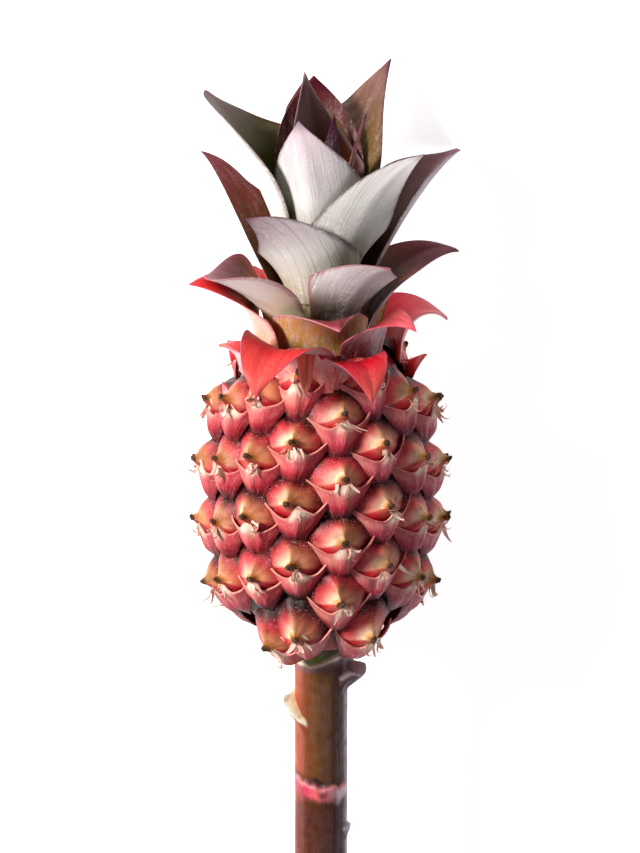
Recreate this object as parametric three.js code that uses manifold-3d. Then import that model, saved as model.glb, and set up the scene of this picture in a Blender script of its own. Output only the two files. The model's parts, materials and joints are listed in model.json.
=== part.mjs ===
// A small ornamental pineapple, cut with its flower stalk and lying on its side: the stalk with
// its torn bract scars, the fruit with all its eyes, the crown's core, the red bracts on the
// fruit's shoulder and the crown leaves. Millimetres, +Z up, cut end to crown tip along +Y.
//
// Plant frame: the axis runs along +Y from the cut end at 0. An azimuth is measured round it
// from the upper side (+Z) towards +X, so 0 is the side that faces up and 90 the right side.
import * as THREE from "three";
import { mergeVertices } from "three/addons/utils/BufferGeometryUtils.js";
import Module from "manifold-3d";

// Stalk
const stalkLength = 60;
const stalkRadius = 5.5;
const seatGap = 0.3;

// Fruit
const fruitLength = 62;
const fruitRadius = 20.6;
const fruitWidest = 29; // height of the widest ring above the fruit's foot
const fruitFootRadius = 6;
const fruitTopRadius = 10.6;
const footRoundness = 1.85;
const shoulderRoundness = 2.1;

// Eyes, in columns that run up the fruit; a ring of eyes holds every other column
const eyeColumns = 16;
const columnStart = 9.5; // azimuth of column 0, degrees
const topRing = 58.7; // where ring 0 is lowest, measured up the fruit's skin from its foot
const ringStep = 5.85;
const lowestAzimuth = 15; // the side on which every ring is lowest
const ringTilt = 9.7; // and it is this much higher a quarter turn away
const footRings = 23.5; // below here the eyes stand further apart
const footSpread = 5;
const footGap = 3.7;
const lowestEye = 11;
const highestEye = 66;
const eyeHalfWidth = 6;
const eyeHalfHeight = 6.2;
const eyeRelief = 4;
const eyePoint = 1.7; // 1 makes each eye a cone, 2 a dome
const hornHeight = 1.9;
const hornRadius = 1.7;
const hornDrop = 0.8;
const lowEyeStretch = 1.25; // the lowest eyes are this much taller
const lowEyeReach = 28; // and those above here are not
const footFade = 12; // the relief dies out over this much skin at the fruit's foot
const topFade = 7;

// Leaves and bracts, on one spiral: rank 0 is at the fruit's top edge and bracts are below it
const turnPerRank = 360 * 5 / 13;
const spiralStart = 9; // azimuth of rank 0, degrees
const bractRankStep = 1.02; // distance between ranks along the fruit's skin

// Crown
const coreHeight = 20;
const coreTipRadius = 1.6;
const coreRankStep = 1.2;
const bladeThickness = 0.7;
const sheathHalfAngle = 55; // degrees of the core that a leaf's foot wraps on each side
const sheathShare = 0.8; // and no wider than this share of the leaf's own width
const channelRate = 1.4; // how soon the sheath's curve opens into the leaf's own channel
const tipThinning = 0.75;
const widestWrap = 2.6; // radians
const bladeColumns = 6;
const bladeRows = 7;
const stepsPerRow = 4;

// How the plant lies: it rolls and pitches until it rests on its lowest points
const restPitch = 0.42;
const restRoll = 0.07;

const radians = Math.PI / 180;
const mix = (a, b, t) => a + (b - a) * t;
const clamp01 = (t) => Math.min(1, Math.max(0, t));
const smooth = (t) => clamp01(t) ** 2 * (3 - 2 * clamp01(t));

const wasm = await Module();
wasm.setup();

// ---- solids ----

function toSolid(geometry) {
  const bare = new THREE.BufferGeometry();
  bare.setAttribute("position", geometry.getAttribute("position"));
  bare.setIndex(geometry.index);
  const merged = mergeVertices(bare, 1e-4);
  return new wasm.Manifold(new wasm.Mesh({
    numProp: 3,
    vertProperties: merged.attributes.position.array,
    triVerts: new Uint32Array(merged.index.array),
  }));
}

function toGeometry(solid) {
  const mesh = solid.getMesh();
  const geometry = new THREE.BufferGeometry();
  const positions = new Float32Array(mesh.numVert * 3);
  for (let i = 0; i < mesh.numVert; i += 1) {
    const at = i * mesh.numProp;
    positions.set(mesh.vertProperties.subarray(at, at + 3), i * 3);
  }
  geometry.setAttribute("position", new THREE.BufferAttribute(positions, 3));
  geometry.setIndex(new THREE.BufferAttribute(mesh.triVerts, 1));
  geometry.computeVertexNormals();
  return geometry;
}

const largestBody = (solid) =>
  solid.decompose().reduce((best, body) => (body.volume() > best.volume() ? body : best));

function shapeOf(points, faces) {
  const geometry = new THREE.BufferGeometry();
  const flat = points.flatMap((p) => [p.x, p.y, p.z]);
  geometry.setAttribute("position", new THREE.Float32BufferAttribute(flat, 3));
  geometry.setIndex(faces);
  return geometry;
}

// The faces between rings of points that all run the same way round, anticlockwise as seen
// from the last ring, so that they point outwards.
function wallFaces(ringCount, size) {
  const faces = [];
  for (let ring = 0; ring + 1 < ringCount; ring += 1) {
    for (let i = 0; i < size; i += 1) {
      const next = (i + 1) % size;
      const below = ring * size;
      const above = below + size;
      faces.push(below + i, below + next, above + next);
      faces.push(below + i, above + next, above + i);
    }
  }
  return faces;
}

// The fan of faces from the last ring to a single point that closes it.
function fanFaces(ringCount, size, apex) {
  const start = (ringCount - 1) * size;
  return Array.from({ length: size }, (_, i) => [start + i, start + ((i + 1) % size), apex]).flat();
}

// A closed skin over rings of points, with a point on the axis closing each end.
function loft(rings, startPoint, endPoint) {
  const size = rings[0].length;
  const points = [...rings.flat(), startPoint, endPoint];
  const start = points.length - 2;
  const footFaces = fanFaces(1, size, start).reverse();
  const endFaces = fanFaces(rings.length, size, start + 1);
  return shapeOf(points, [...wallFaces(rings.length, size), ...footFaces, ...endFaces]);
}

// The point at an azimuth, a distance from the axis and a height above the cut end.
const onAxis = (azimuth, radius, height) => new THREE.Vector3(
  radius * Math.sin(azimuth * radians),
  height,
  radius * Math.cos(azimuth * radians),
);

// ---- fruit ----

// The fruit's skin as a profile: a barrel of two superellipse quarters, foot and shoulder.
function barrelRadius(height) {
  const low = height < fruitWidest;
  const reach = low ? fruitWidest : fruitLength - fruitWidest;
  const power = low ? footRoundness : shoulderRoundness;
  const end = low ? fruitFootRadius : fruitTopRadius;
  const away = Math.min(1, Math.abs(height - fruitWidest) / reach);
  return end + (fruitRadius - end) * (1 - away ** power) ** (1 / power);
}

// Heights at even steps of distance along that profile.
const profile = (() => {
  const fine = 2000;
  const walked = [0];
  const heights = [0];
  for (let i = 1; i <= fine; i += 1) {
    // cosine spacing follows the steep ends closely
    const height = (fruitLength / 2) * (1 - Math.cos((Math.PI * i) / fine));
    const step = Math.hypot(height - heights[i - 1], barrelRadius(height) - barrelRadius(heights[i - 1]));
    walked.push(walked[i - 1] + step);
    heights.push(height);
  }
  return { walked, heights, length: walked[fine] };
})();

function skinHeight(distance) {
  const { walked, heights } = profile;
  const i = Math.max(1, walked.findIndex((w) => w >= distance));
  if (distance >= profile.length) return fruitLength;
  return mix(heights[i - 1], heights[i], (distance - walked[i - 1]) / (walked[i] - walked[i - 1]));
}

// The eyes of every column, from the fruit's top edge down to its foot.
const eyes = [];
for (let column = 0; column < eyeColumns; column += 1) {
  const azimuth = columnStart + (360 * column) / eyeColumns;
  const climb = ringTilt * (1 - Math.cos((azimuth - lowestAzimuth) * radians));
  for (let ring = (column % 2) - 2; ; ring += 2) {
    const even = topRing - ringStep * ring + climb;
    const distance = even - footGap * smooth((footRings - even) / footSpread);
    if (distance < lowestEye) break;
    const halfHeight = eyeHalfHeight * mix(lowEyeStretch, 1, smooth(2 * distance / lowEyeReach - 1));
    if (distance < highestEye) eyes.push({ azimuth, distance, halfHeight });
  }
}

// Height of the skin above the barrel: each eye is a low dome with a blunt horn a little under
// its middle, and the deepest groove lies where the domes of two eyes meet.
function skinRelief(azimuth, distance, radius) {
  let best = 0;
  for (const eye of eyes) {
    const turn = azimuth - eye.azimuth;
    // the eyes narrow a little towards both ends of the fruit
    const reach = radians * Math.sqrt(radius * fruitRadius);
    const across = (turn - 360 * Math.round(turn / 360)) * reach;
    const along = distance - eye.distance;
    if (Math.abs(across) > eyeHalfWidth || Math.abs(along) > eye.halfHeight) continue;
    const away = Math.hypot(across / eyeHalfWidth, along / eye.halfHeight);
    const dome = eyeRelief * Math.max(0, 1 - away ** eyePoint);
    const fromHorn = (across ** 2 + (along + hornDrop) ** 2) / hornRadius ** 2;
    best = Math.max(best, dome + hornHeight * Math.exp(-fromHorn));
  }
  return best;
}

// The whole fruit; swell moves its skin outwards for cutting clear of it.
function makeFruit(swell) {
  const sides = 80;
  const rows = 48;
  const rings = [];
  for (let row = 0; row <= rows; row += 1) {
    const distance = (profile.length * row) / rows;
    const height = skinHeight(distance);
    const radius = barrelRadius(height);
    const ahead = skinHeight(distance + 0.5);
    const behind = skinHeight(distance - 0.5);
    const run = new THREE.Vector2(barrelRadius(ahead) - barrelRadius(behind), ahead - behind).normalize();
    const fade = smooth(Math.min(distance / footFade, (profile.length - distance) / topFade));
    const ring = [];
    for (let side = 0; side < sides; side += 1) {
      const azimuth = columnStart + (360 * side) / sides;
      const proud = swell + fade * skinRelief(azimuth, distance, radius);
      ring.push(onAxis(azimuth, radius + run.y * proud, stalkLength + height - run.x * proud));
    }
    rings.push(ring);
  }
  const foot = rings[0].reduce((low, p) => Math.min(low, p.y), Infinity);
  const top = rings[rows].reduce((high, p) => Math.max(high, p.y), -Infinity);
  return toSolid(loft(rings, onAxis(0, 0, foot), onAxis(0, 0, top)));
}

// ---- stalk ----

// Each torn bract leaves a raised collar: height, how far it goes round, and how far it stands out.
const scars = [
  { height: 31, middle: -5, spread: 95, out: 0.9, length: 6 },
  { height: 47.5, middle: -75, spread: 44, out: 2.4, length: 6 },
  { height: 53.5, middle: 80, spread: 46, out: 3.2, length: 5 },
  { height: 57, middle: -10, spread: 90, out: 0.7, length: 4 },
  { height: 19, middle: 90, spread: 40, out: 0.8, length: 4 },
];

function stalkRadiusAt(azimuth, height) {
  let radius = stalkRadius;
  for (const scar of scars) {
    const turn = azimuth - scar.middle;
    const round = Math.abs(turn - 360 * Math.round(turn / 360)) / scar.spread;
    const above = (height - scar.height) / scar.length;
    // a collar rises slowly from below and breaks off sharply at its upper edge
    const lengthwise = above < 0 ? smooth(1 + above) : smooth(1 - above * 3);
    radius += scar.out * lengthwise * smooth(1 - round);
  }
  return radius;
}

function makeStalk() {
  const sides = 20;
  const rows = 32;
  const top = stalkLength - seatGap;
  const rings = [];
  for (let row = 0; row <= rows; row += 1) {
    const height = (top * row) / rows;
    const ring = [];
    for (let side = 0; side < sides; side += 1) {
      const azimuth = (360 * side) / sides;
      ring.push(onAxis(azimuth, stalkRadiusAt(azimuth, height), height));
    }
    rings.push(ring);
  }
  return toSolid(loft(rings, onAxis(0, 0, 0), onAxis(0, 0, top)));
}

// ---- crown ----

const crownFoot = stalkLength + fruitLength;
const coreRadius = (height) =>
  mix(fruitTopRadius, coreTipRadius, clamp01((height - crownFoot) / coreHeight));

function makeCore() {
  const sides = 24;
  const foot = crownFoot + seatGap;
  const ringAt = (height) => Array.from({ length: sides }, (_, side) =>
    onAxis((360 * side) / sides, coreRadius(height) - seatGap, height));
  const tip = crownFoot + coreHeight;
  return toSolid(loft([ringAt(foot), ringAt(tip)], onAxis(0, 0, foot), onAxis(0, 0, tip)));
}

const azimuthOf = (rank) => {
  const turned = spiralStart - turnPerRank * rank;
  return turned - 360 * Math.round(turned / 360);
};

// Where a leaf of a given rank is rooted: on the fruit's shoulder below rank 0, on the core above.
function rootOf(rank) {
  if (rank < 0) {
    const height = skinHeight(profile.length + bractRankStep * rank);
    return { radius: barrelRadius(height), height: stalkLength + height };
  }
  const height = crownFoot + seatGap + coreRankStep * rank;
  return { radius: coreRadius(height), height };
}

// One channelled leaf. Its midrib leaves the axis at lean[0] degrees and ends at lean[1], turning
// sideways by sweep on the way, and its section is an arc that wraps the core at the foot. Swell
// makes every face stand out by that much, for cutting other pieces clear of the leaf.
function makeBlade(leaf, swell) {
  const root = rootOf(leaf.rank);
  const azimuth = azimuthOf(leaf.rank) + leaf.shift;
  const outward = onAxis(azimuth, 1, 0);
  const sideways = onAxis(azimuth + 90, 1, 0);
  const place = onAxis(azimuth, root.radius + bladeThickness, root.height);
  const steps = bladeRows * stepsPerRow;
  const rings = [];
  for (let step = 0; step < steps; step += 1) {
    const t = step / steps;
    const lean = mix(leaf.lean[0], leaf.lean[1], t ** leaf.bend) * radians;
    const turn = leaf.sweep * t * radians;
    const heading = outward.clone().multiplyScalar(Math.cos(turn)).addScaledVector(sideways, Math.sin(turn));
    const along = heading.clone().multiplyScalar(Math.sin(lean)).setY(Math.cos(lean));
    const across = sideways.clone().multiplyScalar(Math.cos(turn)).addScaledVector(outward, -Math.sin(turn));
    across.applyAxisAngle(along, leaf.twist * t * radians);
    const inward = along.clone().cross(across);
    if (step % stepsPerRow === 0) rings.push(sectionRing(leaf, root, t, { place, across, inward }, swell));
    place.addScaledVector(along, leaf.length / steps);
  }
  return toSolid(loftBlade(rings, place));
}

// Half the blade's width along its length: a sheath, a broad belly and a drawn-out point.
function halfWidthAt(leaf, root, t) {
  const sheath = Math.min(leaf.width * sheathShare, root.radius * sheathHalfAngle * radians);
  const belly = mix(sheath, leaf.width, smooth(t / leaf.belly));
  const taper = t < leaf.belly ? 1 : 1 - ((t - leaf.belly) / (1 - leaf.belly)) ** leaf.point;
  return belly * taper;
}

// The blade's section a share t of the way along: an outer arc and an inner arc on one centre.
function sectionRing(leaf, root, t, frame, swell) {
  const halfWidth = halfWidthAt(leaf, root, t) + swell;
  const curve = mix(root.radius + bladeThickness, leaf.channel, smooth(t * channelRate));
  const thick = bladeThickness * mix(1, tipThinning, t);
  const sheet = (depth) => Array.from({ length: bladeColumns + 1 }, (_, column) => {
    const reach = mix(-halfWidth, halfWidth, column / bladeColumns);
    const angle = Math.max(-widestWrap, Math.min(widestWrap, reach / curve));
    return frame.place.clone()
      .addScaledVector(frame.across, (curve - depth) * Math.sin(angle))
      .addScaledVector(frame.inward, curve - (curve - depth) * Math.cos(angle));
  });
  return [...sheet(-swell), ...sheet(thick + swell).reverse()];
}

// A loft of flat rings, each an outer row and then the inner row back, closed by a strip across
// the foot and by a single point at the tip.
function loftBlade(rings, tip) {
  const size = rings[0].length;
  const points = [...rings.flat(), tip];
  const faces = [...wallFaces(rings.length, size), ...fanFaces(rings.length, size, points.length - 1)];
  for (let i = 0; i < size / 2 - 1; i += 1) {
    const opposite = size - 1 - i;
    faces.push(i, opposite, opposite - 1);
    faces.push(i, opposite - 1, i + 1);
  }
  return shapeOf(points, faces);
}

// A bract or leaf: half width in mm, lean from the axis at foot and tip, how late it bends, sideways
// sweep and twist of the tip, where its belly is, how drawn out its point is, the radius of its
// channel, and a small shift of its azimuth. What an entry leaves out comes from its kind.
const bract = {
  width: 6, lean: [35, 100], bend: 1, sweep: 0, twist: 0, belly: 0.25, point: 1.15, channel: 16, shift: 0,
};
const crownLeaf = {
  width: 10, lean: [12, 55], bend: 1.6, sweep: 0, twist: 0, belly: 0.36, point: 1.25, channel: 10, shift: 0,
};
const bracts = [
  { name: "bract_left_side_low", rank: -15, length: 8, width: 4.5, lean: [24, 24], shift: 14 },
  { name: "bract_back_low", rank: -12, length: 10, lean: [20, 70] },
  { name: "bract_right_side_low", rank: -11, length: 7, width: 5, lean: [12, 70], shift: 14 },
  {
    name: "bract_front_left_curled", rank: -10, length: 28, width: 10, channel: 13,
    belly: 0.3, point: 1.4, lean: [-10, 184], bend: 1.2, sweep: -8, twist: -18, shift: 27,
  },
  { name: "bract_back_middle", rank: -9, length: 12, lean: [20, 80] },
  {
    name: "bract_front_right_curled", rank: -8, length: 19, width: 7.5, channel: 13.5,
    belly: 0.3, lean: [-5, 201], bend: 1.1, sweep: 12, twist: 9, shift: -18,
  },
  {
    name: "bract_left_side_high", rank: -7, length: 7.5, width: 7, channel: 8, belly: 0.4,
    point: 1, lean: [-5, 100], bend: 1.3, sweep: -14, shift: 20,
  },
  {
    name: "bract_right_side_high", rank: -6, length: 18, width: 12, channel: 14,
    belly: 0.3, point: 1.35, lean: [8, 140], bend: 1.4, sweep: -19, twist: 8, shift: -1,
  },
  {
    name: "bract_front_curled", rank: -5, length: 15.5, width: 6.5, lean: [17, 187],
    bend: 1.1, sweep: 6, shift: 11,
  },
  { name: "bract_back_high", rank: -4, length: 14, lean: [25, 85] },
  {
    name: "bract_front_right_high", rank: -3, length: 23, width: 6.5, point: 1,
    lean: [16, 122], bend: 1.3, twist: 42, shift: -29,
  },
];
const crownLeaves = [
  {
    name: "leaf_left_low", rank: -2, length: 23.5, width: 9, channel: 15, belly: 0.35,
    point: 1.05, lean: [6, 102], bend: 1.5, sweep: -5, twist: -35, shift: 6,
  },
  { name: "leaf_back_right_low", rank: -1, length: 21, width: 9, lean: [20, 62], bend: 1.1 },
  {
    name: "leaf_front_low", rank: 0, length: 18, width: 11.5, channel: 12.5, belly: 0.25,
    point: 1, lean: [14, 117], bend: 1.2, sweep: 26, twist: -2, shift: -9,
  },
  { name: "leaf_back_left_low", rank: 1, length: 15, belly: 0.35, lean: [16, 45], bend: 1.1 },
  {
    name: "leaf_right_low", rank: 2, length: 28.5, channel: 16.5, belly: 0.35, point: 1,
    lean: [12, 112], bend: 1.4, sweep: 13, twist: 26, shift: 13,
  },
  {
    name: "leaf_front_left_low", rank: 3, length: 20.5, width: 14.5, channel: 18,
    belly: 0.6, point: 2, lean: [38, 80], bend: 1.8, sweep: -36, twist: -1, shift: -9,
  },
  {
    name: "leaf_back_middle", rank: 4, length: 48, width: 12.5, channel: 9.5, belly: 0.55,
    point: 1.9, lean: [6, 7], sweep: 9, twist: -5, shift: 9,
  },
  {
    name: "leaf_front_right_middle", rank: 5, length: 21.5, width: 10.5, channel: 14,
    belly: 0.35, point: 1.05, lean: [26, 83], bend: 1.3, sweep: -5, twist: -27, shift: -2,
  },
  {
    name: "leaf_left_middle", rank: 6, length: 39, width: 4.5, channel: 15, belly: 0.25,
    point: 1.6, lean: [17, 83], bend: 2.4, sweep: -38, twist: -39, shift: -3,
  },
  {
    name: "leaf_right_middle", rank: 7, length: 43, channel: 9.5, belly: 0.6, point: 1.7,
    lean: [31, 87], bend: 2.3, sweep: 30, twist: -13, shift: -3,
  },
  {
    name: "leaf_front_left_middle", rank: 8, length: 24.5, width: 14.5, channel: 18,
    belly: 0.2, point: 1, lean: [15, 75], bend: 1.5, sweep: -55, twist: 57, shift: -5,
  },
  {
    name: "leaf_back_left_high", rank: 9, length: 44.5, width: 12, channel: 10.5,
    belly: 0.4, point: 1.45, lean: [13, 45], sweep: -4, shift: -13,
  },
  {
    name: "leaf_front_right_high", rank: 10, length: 38, width: 9, channel: 18,
    belly: 0.3, point: 1, lean: [22, 63], bend: 1.5, sweep: 25, twist: -61, shift: -33,
  },
  {
    name: "leaf_left_high", rank: 11, length: 43.5, width: 14, channel: 17, belly: 0.5,
    point: 2, lean: [18, 61], bend: 2.4, sweep: -44, twist: 20, shift: -20,
  },
  {
    name: "leaf_back_right_high", rank: 12, length: 46.5, width: 12, channel: 18,
    belly: 0.35, point: 1, lean: [17, 42], bend: 1.3, sweep: -33, twist: 17, shift: 14,
  },
  {
    name: "leaf_front_high", rank: 13, length: 33, width: 11, channel: 11.5, belly: 0.5,
    point: 1.5, lean: [25, 14], bend: 1, sweep: -40, twist: 14, shift: -13,
  },
  {
    name: "leaf_back_left_inner", rank: 14, length: 37.5, width: 10.5, channel: 15,
    belly: 0.5, point: 1, lean: [0, 20], sweep: 12, twist: 24, shift: -32,
  },
  { name: "leaf_right_inner", rank: 15, length: 29, width: 5, lean: [8, 18] },
  { name: "leaf_left_inner", rank: 16, length: 28, width: 4, lean: [4, 10], shift: 75 },
];

// ---- assembly ----

const group = new THREE.Group();

function addNode(name, solid, colour, roughness) {
  const material = new THREE.MeshStandardMaterial({ color: colour, roughness, metalness: 0 });
  const mesh = new THREE.Mesh(toGeometry(solid), material);
  mesh.name = name;
  group.add(mesh);
}

addNode("stalk", makeStalk(), 0x6b3a2e, 0.45);
addNode("fruit", makeFruit(0), 0xb5443a, 0.5);
addNode("crown_core", makeCore(), 0x8a9a55, 0.6);

// Leaves are placed from the lowest rank inwards, each trimmed clear of the fruit and of those
// outside it.
const placed = [makeFruit(seatGap)];
function placeLeaf(leaf, colour) {
  const solid = placed.reduce((rest, other) => rest.subtract(other), makeBlade(leaf, 0));
  addNode(leaf.name, largestBody(solid), colour, 0.6);
  placed.push(makeBlade(leaf, seatGap));
}
bracts.forEach((leaf) => placeLeaf({ ...bract, ...leaf }, 0xd8384a));
crownLeaves.forEach((leaf) => placeLeaf({ ...crownLeaf, ...leaf }, 0xc9c0c8));

// The box's bottom centre is the origin.
group.rotation.set(restPitch * radians, restRoll * radians, 0, "YXZ");
group.updateMatrixWorld(true);
const box = new THREE.Box3().setFromObject(group, true);
const centre = box.getCenter(new THREE.Vector3());
group.position.set(-centre.x, -centre.y, -box.min.z);

export default group;
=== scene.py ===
# A small ornamental pineapple, cut with its stalk and lying on its side on a pale floor.
# Shapes are worked out in millimetres in the plant's own frame: its axis runs along +y from the
# cut end, and an azimuth turns round it from the side that faces up (+z) towards +x.
import json
import math

import bpy
import numpy as np
from mathutils import Matrix


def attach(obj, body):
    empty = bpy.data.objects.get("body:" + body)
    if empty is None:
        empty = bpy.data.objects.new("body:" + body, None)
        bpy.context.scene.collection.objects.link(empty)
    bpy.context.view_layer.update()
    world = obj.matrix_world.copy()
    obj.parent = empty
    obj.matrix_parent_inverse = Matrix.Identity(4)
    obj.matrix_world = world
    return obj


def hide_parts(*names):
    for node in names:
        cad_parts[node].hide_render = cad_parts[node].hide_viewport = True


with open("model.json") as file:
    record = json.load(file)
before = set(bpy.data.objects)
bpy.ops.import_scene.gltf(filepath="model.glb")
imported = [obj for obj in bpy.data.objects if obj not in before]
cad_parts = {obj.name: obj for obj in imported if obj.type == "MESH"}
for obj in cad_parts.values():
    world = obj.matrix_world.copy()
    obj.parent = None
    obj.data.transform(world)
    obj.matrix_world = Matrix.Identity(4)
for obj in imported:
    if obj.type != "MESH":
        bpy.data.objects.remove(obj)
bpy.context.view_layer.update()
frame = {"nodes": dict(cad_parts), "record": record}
print("frame loaded:", len(frame["nodes"]), "nodes")

# How the plant lies: degrees of pitch and roll, and where the middle of its cut end is, in metres.
lie = {"pitch": 0.42, "roll": 0.07}
cutCentre = np.array(frame["record"]["mounts"][0]["pos_m"])


def turnMatrix(pitch, roll):
    # a pitch about x, then a roll about y
    p, r = math.radians(pitch), math.radians(roll)
    pitched = np.array([[1, 0, 0], [0, math.cos(p), -math.sin(p)], [0, math.sin(p), math.cos(p)]])
    rolled = np.array([[math.cos(r), 0, math.sin(r)], [0, 1, 0], [-math.sin(r), 0, math.cos(r)]])
    return rolled @ pitched


lieTurn = turnMatrix(**lie)


def toWorld(points):
    # plant millimetres to metres; what would lie below the floor is raised to it, squashed flat
    placed = np.asarray(points) @ lieTurn.T / 1000 + cutCentre
    placed[..., 2] = np.maximum(placed[..., 2], 0)
    return placed


def mix(a, b, t):
    return a + (b - a) * t


def smooth(t):
    # 0 below 0, 1 above 1, and an even S between
    t = np.clip(t, 0, 1)
    return t * t * (3 - 2 * t)


def bell(x):
    # a bump of height 1 that is down to a third at x = 1
    return np.exp(-x * x)


def linear(colour):
    # a screen colour to the linear values that shaders use
    return np.power(np.asarray(colour, float), 2.2)


def gradient(t, stops):
    # colours between stops of (place, screen colour), in straight lines
    places = [place for place, colour in stops]
    colours = linear([colour for place, colour in stops])
    return np.stack([np.interp(t, places, colours[:, i]) for i in range(3)], -1)


def over(under, colour, amount):
    # a colour laid over others, by an amount at each point
    return mix(under, linear(colour), np.asarray(amount)[..., None])


def lay(under, named, share):
    # a colour laid over others, up to the most that is named beside it
    colour, most = named
    return over(under, colour, most * share)


def halfTurn(angle):
    # radians brought between minus pi and pi
    return (angle + np.pi) % (2 * np.pi) - np.pi


def wrapped(angle):
    # degrees brought between -180 and 180
    return angle - 360 * np.round(angle / 360)


def onAxis(azimuth, radius, height):
    # a point at an azimuth in degrees, a distance from the axis and a height above the cut end
    a = np.radians(azimuth)
    azimuth, radius, height = np.broadcast_arrays(a, radius, height)
    return np.stack([radius * np.sin(azimuth), height, radius * np.cos(azimuth)], -1)


def wavering(x, y, seed, waves=5, finest=3.0):
    # a gentle random surface between -1 and 1: a few sine waves across x and y in random directions
    random = np.random.default_rng(seed)
    total = 0
    for k in range(waves):
        turn, phase = random.uniform(0, 2 * math.pi, 2)
        pitch = random.uniform(0.4, finest)
        total = total + np.sin(pitch * (x * math.cos(turn) + y * math.sin(turn)) + phase)
    return total / waves


# Meshes


def tubeFaces(count, rings, sides):
    # faces of tubes whose rings run anticlockwise as seen from the last ring, with both ends closed
    r, s = np.meshgrid(np.arange(rings - 1), np.arange(sides), indexing="ij")
    low, nextLow = r * sides + s, r * sides + (s + 1) % sides
    one = np.stack([low, nextLow, nextLow + sides, low + sides], -1).reshape(-1, 4)
    start = np.arange(count)[:, None, None] * rings * sides
    walls = (one[None] + start).reshape(-1, 4).tolist()
    ring = np.arange(sides)[None]
    feet = (ring[:, ::-1] + start[:, :, 0]).tolist()
    tops = (ring + (rings - 1) * sides + start[:, :, 0]).tolist()
    return walls + feet + tops


def sheetFaces(count, rows, cols):
    # faces of thin closed sheets, each an outer grid followed by an inner grid, joined at the edges
    outer = np.arange(rows * cols).reshape(rows, cols)
    inner = outer + rows * cols

    def strip(a, b, c, d):
        return np.stack([a.ravel(), b.ravel(), c.ravel(), d.ravel()], -1)

    one = np.concatenate([
        strip(outer[:-1, :-1], outer[:-1, 1:], outer[1:, 1:], outer[1:, :-1]),
        strip(inner[:-1, :-1], inner[1:, :-1], inner[1:, 1:], inner[:-1, 1:]),
        strip(outer[:-1, 0], outer[1:, 0], inner[1:, 0], inner[:-1, 0]),
        strip(outer[1:, -1], outer[:-1, -1], inner[:-1, -1], inner[1:, -1]),
        strip(outer[0, 1:], outer[0, :-1], inner[0, :-1], inner[0, 1:]),
        strip(outer[-1, :-1], outer[-1, 1:], inner[-1, 1:], inner[-1, :-1]),
    ])
    start = np.arange(count)[:, None, None] * 2 * rows * cols
    return (one[None] + start).reshape(-1, 4).tolist()


sharpAngle = 55  # degrees between faces that make an edge look sharp


def makePiece(name, points, faces, slot, material, paint, replaced=(), **values):
    # one mesh in world metres, with its paint and its other values kept as attributes of its points
    mesh = bpy.data.meshes.new(name)
    mesh.from_pydata(toWorld(points.reshape(-1, 3)).tolist(), [], faces)
    mesh.update()
    mesh.polygons.foreach_set("use_smooth", np.ones(len(mesh.polygons), bool))
    mesh.set_sharp_from_angle(angle=math.radians(sharpAngle))
    layer = mesh.attributes.new("paint", "FLOAT_COLOR", "POINT")
    rgba = np.ones((len(mesh.vertices), 4))
    rgba[:, :3] = np.clip(paint.reshape(-1, 3), 0, 1)
    layer.data.foreach_set("color", rgba.ravel())
    for key, value in values.items():
        value = np.asarray(value, float)
        if key == "grain":
            layer = mesh.attributes.new(key, "FLOAT_VECTOR", "POINT")
            layer.data.foreach_set("vector", value.ravel())
        else:
            layer = mesh.attributes.new(key, "FLOAT", "POINT")
            layer.data.foreach_set("value", value.ravel())
    piece = bpy.data.objects.new(name, mesh)
    bpy.context.scene.collection.objects.link(piece)
    mesh.materials.append(material)
    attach(piece, "root")
    if replaced:
        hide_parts(*replaced)
    print("made", name, len(mesh.polygons), "faces")
    return piece


# Materials


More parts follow.
